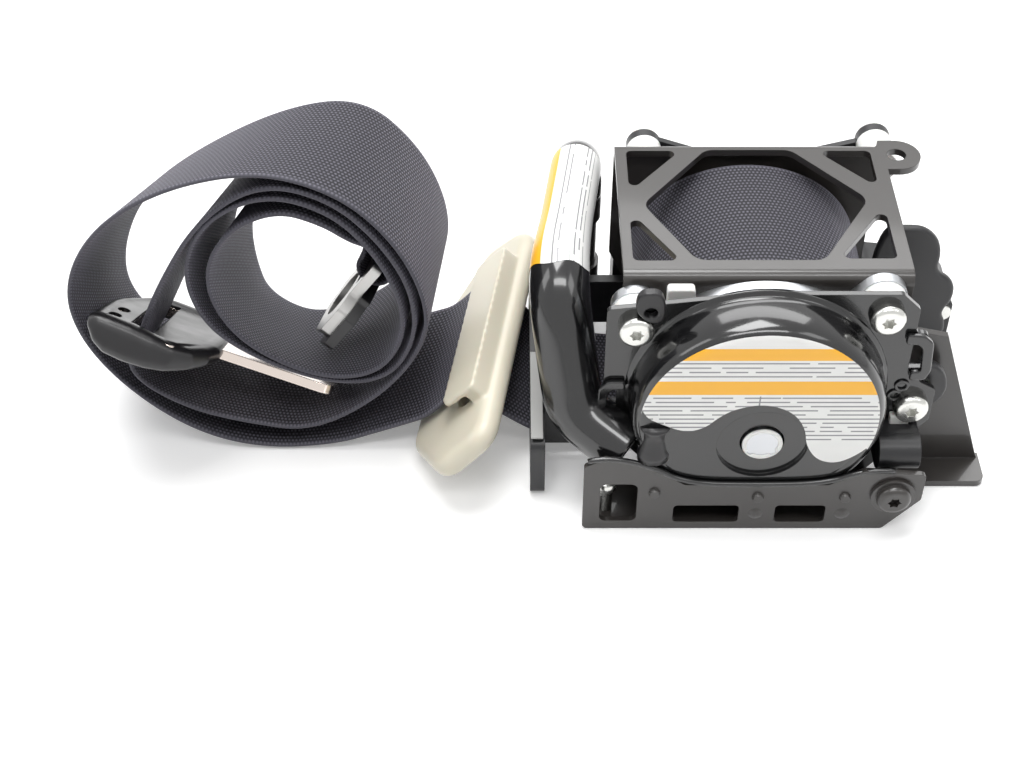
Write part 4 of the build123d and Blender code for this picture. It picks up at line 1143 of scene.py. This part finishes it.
@dataclass
class HubBush:
    """White bush in the drum's hub, with a notched bore."""

    centre: tuple = (65.2, 31.0)
    outer: float = 5.3
    inner: float = 4.1
    front: float = -51.45
    notch_depth: float = 0.8
    notch_half_deg: float = 11.0
    notches_deg: tuple = (225.0, 315.0)
    sides: int = 72

    def build(self) -> bpy.types.Object:
        """Mould the bush.

        Returns:
            The bush.
        """
        rim, bore = circle(0.0, 0.0, self.outer, self.sides), []
        for k in range(self.sides):
            a = math.tau * k / self.sides
            apart = [abs((math.degrees(a) - at + 180) % 360 - 180) for at in self.notches_deg]
            r = self.inner + (self.notch_depth if min(apart) < self.notch_half_deg else 0.0)
            bore.append((r * math.cos(a), r * math.sin(a)))
        # Each row's scale and how far it lies behind the front: rim, chamfers, bore and its floor.
        rows = ((rim, 1.0, 0.5), (rim, 1.0, 0.12), (rim, 0.97, 0.0), (bore, 1.04, 0.0), (bore, 1.0, 0.15),
                (bore, 1.0, 0.5), (bore, 0.0, 0.55))
        points = []
        for row, scale, back in rows:
            points += [place(self.centre[0] + x * scale, self.front + back, self.centre[1] + z * scale)
                       for x, z in row]
        bush = make_piece("hub_bush", points, band_faces(len(rows), self.sides), "reel", WHITE_ACETAL)
        log.info("hub_bush placed")
        return bush


def rolled_edge(name: str, route: list[tuple[float, float, float]], radius: float,
                sides: int = 12) -> bpy.types.Object:
    """Lay a round rolled edge of gloss-coated steel along a smooth route.

    Args:
        name: the piece's name.
        route: the route's corners in drawing mm.
        radius: the roll's radius in mm.
        sides: points round the roll.

    Returns:
        The piece.
    """
    line = spline_points([place(*p) for p in route], 8)
    points = []
    for i, here in enumerate(line):
        along = along_line(line, i).normalized()
        side = along.cross(Vector((0, 1, 0))).normalized()
        up = side.cross(along)
        points += [here + (side * c + up * d) * radius * MM for c, d in circle(0.0, 0.0, 1.0, sides)]
    return make_piece(name, points, band_faces(len(line), sides, caps=True), "retractor", GLOSS_COAT)


def turned(name: str, at: tuple[float, float], profile: list[tuple[float, float]], finish: Finish,
           depth: float = 1.0, sides: int = 40) -> bpy.types.Object:
    """Turn an upright piece about a vertical line.

    Args:
        name: the piece's name.
        at: the line's x and y in drawing mm.
        profile: height and radius of each ring, in mm.
        finish: its material.
        depth: its size in y as a share of its size in x.
        sides: points round the piece.

    Returns:
        The piece.
    """
    points = []
    for z, r in profile:
        points += [place(at[0] + r * c, at[1] + depth * r * d, z) for c, d in circle(0.0, 0.0, 1.0, sides)]
    return make_piece(name, points, band_faces(len(profile), sides), "retractor", finish)


@dataclass
class RetractorTrim:
    """Small clips, hooks and strips round the drum cover, on the guide and on the lock's cover.

    Outlines are x and z in drawing mm; flange is where the drum cover's flange lies in y.
    """

    flange: float = -38.0
    clip: tuple = ((31.6, 66.4), (30.8, 69.0), (31.5, 72.3), (33.4, 73.6), (36.8, 73.3), (38.3, 70.7),
                   (38.7, 66.0), (37.4, 63.4), (34.2, 63.7))
    clip_hole: tuple = (34.9, 66.9, 1.6)
    tab: tuple = ((39.5, 58.0), (39.2, 69.4), (46.4, 69.4), (46.8, 58.0))
    left_hook: tuple = ((29.6, 42.0), (25.2, 42.0), (22.6, 39.4), (22.2, 32.0), (25.0, 32.0), (25.2, 37.6),
                        (26.6, 39.2), (29.6, 39.2))
    right_hook: tuple = ((100.6, 58.6), (105.2, 58.2), (107.9, 55.6), (108.7, 46.0), (107.6, 42.8),
                         (103.4, 42.6), (103.4, 45.6), (105.9, 45.8), (105.2, 53.6), (104.0, 55.2),
                         (100.6, 55.4))
    side_bracket: tuple = ((106.8, 43.8), (111.9, 43.0), (115.1, 39.2), (115.9, 33.0), (112.2, 27.6),
                           (110.6, 33.6), (110.8, 37.4), (107.0, 40.0))
    latch: tuple = ((100.6, 26.4), (100.4, 30.2), (104.9, 31.0), (106.0, 26.4))
    lobes: tuple = ((104.6, 44.4), (113.7, 45.0), (118.5, 44.4), (122.8, 40.6), (124.4, 35.3),
                    (124.0, 28.8), (130.2, 24.6), (130.8, 18.0), (128.0, 12.8), (130.2, 8.8), (130.2, 3.2),
                    (104.6, 3.2))
    eyelets: tuple = ((102.3, 39.7), (100.9, 36.2))
    strip: tuple = ((5.1, 21.9), (8.4, 21.9), (8.4, 22.5), (5.1, 22.5))
    roll: tuple = ((20.0, -52.3, 25.6), (24.5, -52.3, 27.2), (36.0, -52.3, 24.2), (46.0, -52.3, 17.3),
                   (65.0, -52.3, 16.7), (84.0, -52.3, 17.3), (93.0, -52.3, 22.5), (101.0, -52.3, 21.9))
    saddle: tuple = ((25.4, 0.0), (25.4, 4.2), (27.6, 4.3), (29.2, 3.5), (32.5, 2.9), (35.2, 3.0),
                     (36.4, 3.9), (37.2, 4.0), (37.2, 0.0))
    stud: tuple = ((1.4, 0.0), (1.4, 1.7), (9.4, 1.7), (9.5, 2.7), (11.9, 2.7), (12.4, 2.3), (12.4, 0.0))

    def build(self) -> None:
        """Make each small piece where its carrier is."""
        flat = self.flange
        # Name, outlines, front, thickness, finish and edge radius of each plate.
        plates = [
            ("hose_clip", [eased(list(self.clip), 2), circle(*self.clip_hole)], flat - 2.6, 2.6,
             TONGUE_NYLON, 0.5),
            ("disc_tab", [rounded(list(self.tab), 1.2)], -34.4, 2.9, WHITE_ACETAL, 0.5),
            ("cover_hook_left", [rounded(list(self.left_hook), 1.0)], flat - 1.6, 1.6, GLOSS_COAT, 0.5),
            ("cover_hook_right", [rounded(list(self.right_hook), 1.0)], flat - 1.6, 1.6, GLOSS_COAT, 0.5)]
        plates += [
            (f"cover_eyelet_{k}", [circle(*at, 2.0), circle(*at, 1.1)], flat - 0.6, 0.6, GLOSS_COAT, 0.2)
            for k, at in enumerate(self.eyelets, start=1)]
        plates += [
            ("ring_bracket", [eased(list(self.side_bracket), 2)], -34.6, 3.1, BLACK_NYLON, 0.7),
            ("clamp_latch", [rounded(list(self.latch), 0.8)], flat - 2.2, 2.2, WHITE_ACETAL, 0.4),
            ("lock_cover_face", [eased(list(self.lobes), 3)], 20.6, 2.9, BLACK_NYLON, 1.0),
            ("guide_strip", [list(self.strip)], -40.6, 34.0, GREY_ACETAL, 0.2)]
        for plate in plates:
            cut_plate(*plate)
        rolled_edge("bracket_roll", list(self.roll), 0.8)
        turned("drum_saddle", (37.0, -50.6), list(self.saddle), TONGUE_NYLON, 0.75)
        turned("bracket_stud", (25.6, -46.6), list(self.stud), BRIGHT_ZINC)
        log.info("retractor trim placed")


@dataclass
class TongueGrip:
    """The tongue's moulded grip: a fat near bar that runs round the neck, a thin far bar and a head plate.

    Sizes are in the tongue's own directions: x along the blade, y across, z out of its face. A
    station of bar or rim gives x, y and z of its middle, half width and half height.
    """

    at: tuple = (-104.4, -5.5, 34.4)
    tilt: float = 21.4
    yaw: float = 3.4
    roll: float = -34.0
    slot_x: tuple = (1.2, 8.2)
    slot_half: float = 25.7
    bar: tuple = (
        (-8.4, -27.6, 1.4, 0.8, 0.8), (-7.6, -28.0, 0.9, 2.6, 2.2), (-5.6, -28.2, -0.4, 3.3, 4.0),
        (-2.5, -28.3, -1.3, 3.6, 5.0), (3.0, -28.3, -1.8, 3.7, 5.2), (9.0, -28.1, -2.2, 3.7, 4.7),
        (13.6, -27.2, -2.3, 3.8, 3.9), (17.6, -24.8, -1.6, 3.9, 3.1), (20.6, -20.6, -0.7, 3.9, 2.6),
        (22.6, -15.4, -0.1, 3.5, 2.3), (23.2, -8.0, 0.0, 3.0, 2.2), (23.4, 0.0, 0.0, 2.8, 2.2),
        (23.2, 8.0, 0.0, 3.0, 2.2), (22.4, 15.6, 0.0, 3.2, 2.3), (19.8, 21.4, 0.1, 3.3, 2.4),
        (16.4, 25.6, 0.2, 3.0, 2.6), (12.4, 27.8, 0.3, 3.0, 2.7), (6.0, 28.6, 0.4, 2.9, 2.7),
        (1.6, 28.4, 0.5, 2.6, 2.4), (-0.4, 27.2, 0.6, 1.6, 1.6), (-1.4, 26.2, 0.7, 0.7, 0.7))
    rim: tuple = ((-7.0, -26.0, 1.1, 1.3, 1.3), (-7.4, -12.0, 1.1, 1.3, 1.2), (-7.2, 2.0, 1.1, 1.3, 1.2),
                  (-6.0, 9.6, 1.1, 1.3, 1.2), (-3.0, 18.4, 1.1, 1.3, 1.2), (0.0, 27.0, 1.1, 1.3, 1.2))
    head: tuple = ((-7.2, -28.0), (15.0, -28.0), (22.6, -15.0), (22.6, 15.0), (15.0, 28.0), (1.0, 28.0),
                   (-6.6, 7.6))
    head_z: tuple = (-2.1, 2.0)
    holes: tuple = ((-3.8, -17.0), (-3.3, -6.0))
    hole_half: tuple = (1.7, 3.4)
    cut_reach: float = 12.0
    voxel_mm: float = 0.45
    smoothing: int = 5

    def build(self) -> bpy.types.Object:
        """Mould the grip and put it in place of its plain solid.

        Returns:
            The grip.
        """
        points, faces = [], []
        for path in (self.bar, self.rim):
            self.loft(path, points, faces)
        self.slab(points, faces)
        grip = make_piece("moulded_grip", [self.set_in(p) for p in points], faces, "tongue", TONGUE_NYLON)
        fuse(grip, self.voxel_mm, self.smoothing)
        for cutter in self.cutters():
            cut = grip.modifiers.new("cut", "BOOLEAN")
            cut.operation = "DIFFERENCE"
            cut.object = cutter
            bpy.context.view_layer.update()
            keep_shape(grip)
            bpy.data.objects.remove(cutter)
        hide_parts("tongue_grip")
        log.info("moulded_grip: %d points", len(grip.data.vertices))
        return grip

    def set_in(self, point: Vector) -> Vector:
        """Turn a point of the tongue's own directions, in mm, into the scene's metres."""
        yaw, roll, tilt = (Matrix.Rotation(math.radians(angle), 3, axis)
                           for angle, axis in ((self.yaw, "Z"), (self.roll, "X"), (self.tilt, "Y")))
        turn = yaw @ roll @ tilt
        return place(*(turn @ Vector(point) + Vector(self.at)))

    def loft(self, path: tuple, points: list, faces: list, sides: int = 20) -> None:
        """Add a closed lump along a path of centres, each with its half width and half height.

        Args:
            path: for each station x, y and z of the centre, half width and half height.
            points: the list of vertices to add to.
            faces: the list of faces to add to.
            sides: points round each section.
        """
        first = len(points)
        for i, (x, y, z, wide, high) in enumerate(path):
            before, after = path[max(i - 1, 0)], path[min(i + 1, len(path) - 1)]
            along = Vector((after[0] - before[0], after[1] - before[1], 0.0)).normalized()
            across = Vector((along.y, -along.x, 0.0))
            for c, d in circle(0.0, 0.0, 1.0, sides):
                # Between a round and a square section.
                square = (abs(c) ** 3 + abs(d) ** 3) ** (-1 / 3)
                out = across * (wide * c * square) + Vector((0, 0, high * d * square))
                points.append(Vector((x, y, z)) + out)
        faces += band_faces(len(path), sides, caps=True, first=first)

    def slab(self, points: list, faces: list) -> None:
        """Add the head plate that joins the bars.

        Args:
            points: the list of vertices to add to.
            faces: the list of faces to add to.
        """
        first = len(points)
        points += [Vector((x, y, z)) for z in self.head_z for x, y in self.head]
        faces += band_faces(2, len(self.head), caps=True, first=first)

    def cutters(self) -> list[bpy.types.Object]:
        """Make the solids that cut the strap's slot and the two oval holes.

        Returns:
            The cutters, which the caller deletes.
        """
        (x0, x1), half = self.slot_x, self.slot_half
        shapes = [[(x0, -half), (x1, -half), (x1, half), (x0, half)]]
        for x, y in self.holes:
            shapes.append([(x + self.hole_half[0] * c, y + self.hole_half[1] * d)
                           for c, d in circle(0.0, 0.0, 1.0, 24)])
        made = []
        for shape in shapes:
            mesh = bpy.data.meshes.new("cutter")
            corners = [Vector((x, y, z)) for z in (-self.cut_reach, self.cut_reach) for x, y in shape]
            mesh.from_pydata([self.set_in(c) for c in corners], [], band_faces(2, len(shape), caps=True))
            made.append(add_object("cutter", mesh))
        return made


@dataclass
class Studio:
    """Plain pale floor, soft lamps and the camera, at the photo's viewing angle.

    A lamp gives name, place, aim, width, height (all in metres) and power in watts. The room's
    light rises from low_light at the horizon's foot to high_light above.
    """

    elevation_deg: float = 44.0
    distance_mm: float = 500.0
    lens_mm: float = 59.27
    sensor_mm: float = 36.0
    floor_size: float = 6.0
    floor_drop: float = 0.0002
    floor_colour: str = "#f2f2f2"
    floor_glow: float = 0.25
    low_light: float = 0.09
    high_light: float = 0.3
    lamps: tuple = (
        ("softbox_top", (-0.1, 0.15, 1.35), (0.0, 0.0, 0.03), 0.8, 0.6, 15.0),
        ("softbox_back", (0.15, 0.95, 1.12), (0.0, 0.0, 0.03), 1.6, 0.5, 10.0),
        ("softbox_front", (0.0, -0.62, 1.28), (0.0, 0.0, 0.03), 1.1, 0.22, 6.0),
        ("softbox_left", (-1.1, -0.2, 0.9), (0.0, 0.0, 0.03), 0.35, 0.7, 2.2),
        ("softbox_right", (1.0, -0.5, 1.1), (0.03, 0.0, 0.03), 0.5, 0.5, 2.0))

    def build(self) -> None:
        """Make the floor, lamps, world and camera."""
        self.floor()
        self.world()
        for lamp in self.lamps:
            self.lamp(*lamp)
        self.camera()
        log.info("studio ready")

    def camera(self) -> None:
        """Place the camera that was fitted to the photo on the webbing's width."""
        data = bpy.data.cameras.new("camera")
        data.lens = self.lens_mm
        data.sensor_width = self.sensor_mm
        data.clip_start = 0.01
        shot = add_object("camera", data)
        rise = math.radians(self.elevation_deg)
        back, up = self.distance_mm * math.cos(rise), self.distance_mm * math.sin(rise)
        shot.location = place(0.0, STRAP_MIDDLE_Y - back, up)
        shot.rotation_euler = (math.pi / 2 - rise, 0.0, 0.0)
        bpy.context.scene.camera = shot

    def lamp(self, name: str, at: tuple[float, float, float], aim: tuple[float, float, float],
             width: float, height: float, power: float) -> None:
        """Add a rectangular soft lamp.

        Args:
            name: the lamp's name.
            at: its place in metres.
            aim: the point it shines at.
            width: its width in metres.
            height: its height in metres.
            power: its power in watts.
        """
        data = bpy.data.lights.new(name, "AREA")
        data.shape = "RECTANGLE"
        data.size, data.size_y, data.energy = width, height, power
        lamp = add_object(name, data)
        lamp.location = at
        lamp.rotation_euler = (Vector(aim) - Vector(at)).to_track_quat("-Z", "Y").to_euler()

    def floor(self) -> None:
        """Lay a matt white floor that keeps the shadow and shows white to the camera."""
        mesh = bpy.data.meshes.new("floor")
        half = self.floor_size / 2
        corners = [(-half, -half, 0), (half, -half, 0), (half, half, 0), (-half, half, 0)]
        mesh.from_pydata(corners, [], [(0, 1, 2, 3)])
        floor = add_object("floor", mesh)
        floor.location.z = -self.floor_drop
        paint = bpy.data.materials.new("floor_paper")
        paint.use_nodes = True
        tree = paint.node_tree
        tree.nodes.clear()
        matt = add_node(tree, "ShaderNodeBsdfDiffuse", None, {"Color": linear(self.floor_colour)})
        rays = add_node(tree, "ShaderNodeLightPath")
        shown = add_node(tree, "ShaderNodeMath", {0: rays.outputs["Is Camera Ray"],
                                                  1: rays.outputs["Is Glossy Ray"]}, operation="MAXIMUM")
        seen = add_node(tree, "ShaderNodeMath", {0: shown}, {1: self.floor_glow},
                        operation="MULTIPLY")
        glow = add_node(tree, "ShaderNodeEmission", {"Strength": seen}, {"Color": (1, 1, 1, 1)})
        both = add_node(tree, "ShaderNodeAddShader", {0: matt, 1: glow})
        add_node(tree, "ShaderNodeOutputMaterial", {"Surface": both})
        floor.data.materials.append(paint)

    def world(self) -> None:
        """Surround the scene with an even pale room, white to the camera and in reflections."""
        world = bpy.data.worlds.new("room")
        bpy.context.scene.world = world
        world.use_nodes = True
        tree = world.node_tree
        tree.nodes.clear()
        rays = add_node(tree, "ShaderNodeLightPath")
        seen = add_node(tree, "ShaderNodeMath", {0: rays.outputs["Is Camera Ray"],
                                                 1: rays.outputs["Is Transmission Ray"]}, operation="MAXIMUM")
        glossy = add_node(tree, "ShaderNodeMath", {0: seen, 1: rays.outputs["Is Glossy Ray"]},
                          operation="MAXIMUM")
        place = add_node(tree, "ShaderNodeTexCoord")
        split = add_node(tree, "ShaderNodeSeparateXYZ", {"Vector": place.outputs["Generated"]})
        height = add_node(tree, "ShaderNodeMapRange", {"Value": split.outputs["Z"]},
                          {"From Min": -0.2, "From Max": 0.9, "To Min": self.low_light,
                           "To Max": self.high_light})
        level = add_node(tree, "ShaderNodeMix", {0: glossy, 2: height}, {3: 1.0},
                         data_type="FLOAT")
        back = add_node(tree, "ShaderNodeBackground", {"Strength": level},
                        {"Color": (1, 1, 1, 1)})
        add_node(tree, "ShaderNodeOutputWorld", {"Surface": back})


def main() -> None:
    """Build and dress every sub-assembly and report each."""
    logging.basicConfig(level=logging.INFO, format="%(name)s: %(message)s")
    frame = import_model()
    bpy.context.scene.view_settings.view_transform = "Standard"
    Studio().build()
    dress_nodes(frame)
    for assembly in (BeltStrap(), WoundRoll(), SewnEnd(), BallTube(), DrumBead(), DrumSticker(), HubBush(),
                     RetractorTrim(), TongueGrip()):
        assembly.build()
    soften_node(frame, "pillar_loop", "moulded_loop", "pillar_loop", BEIGE_ACETAL)


if __name__ == "__main__":
    main()
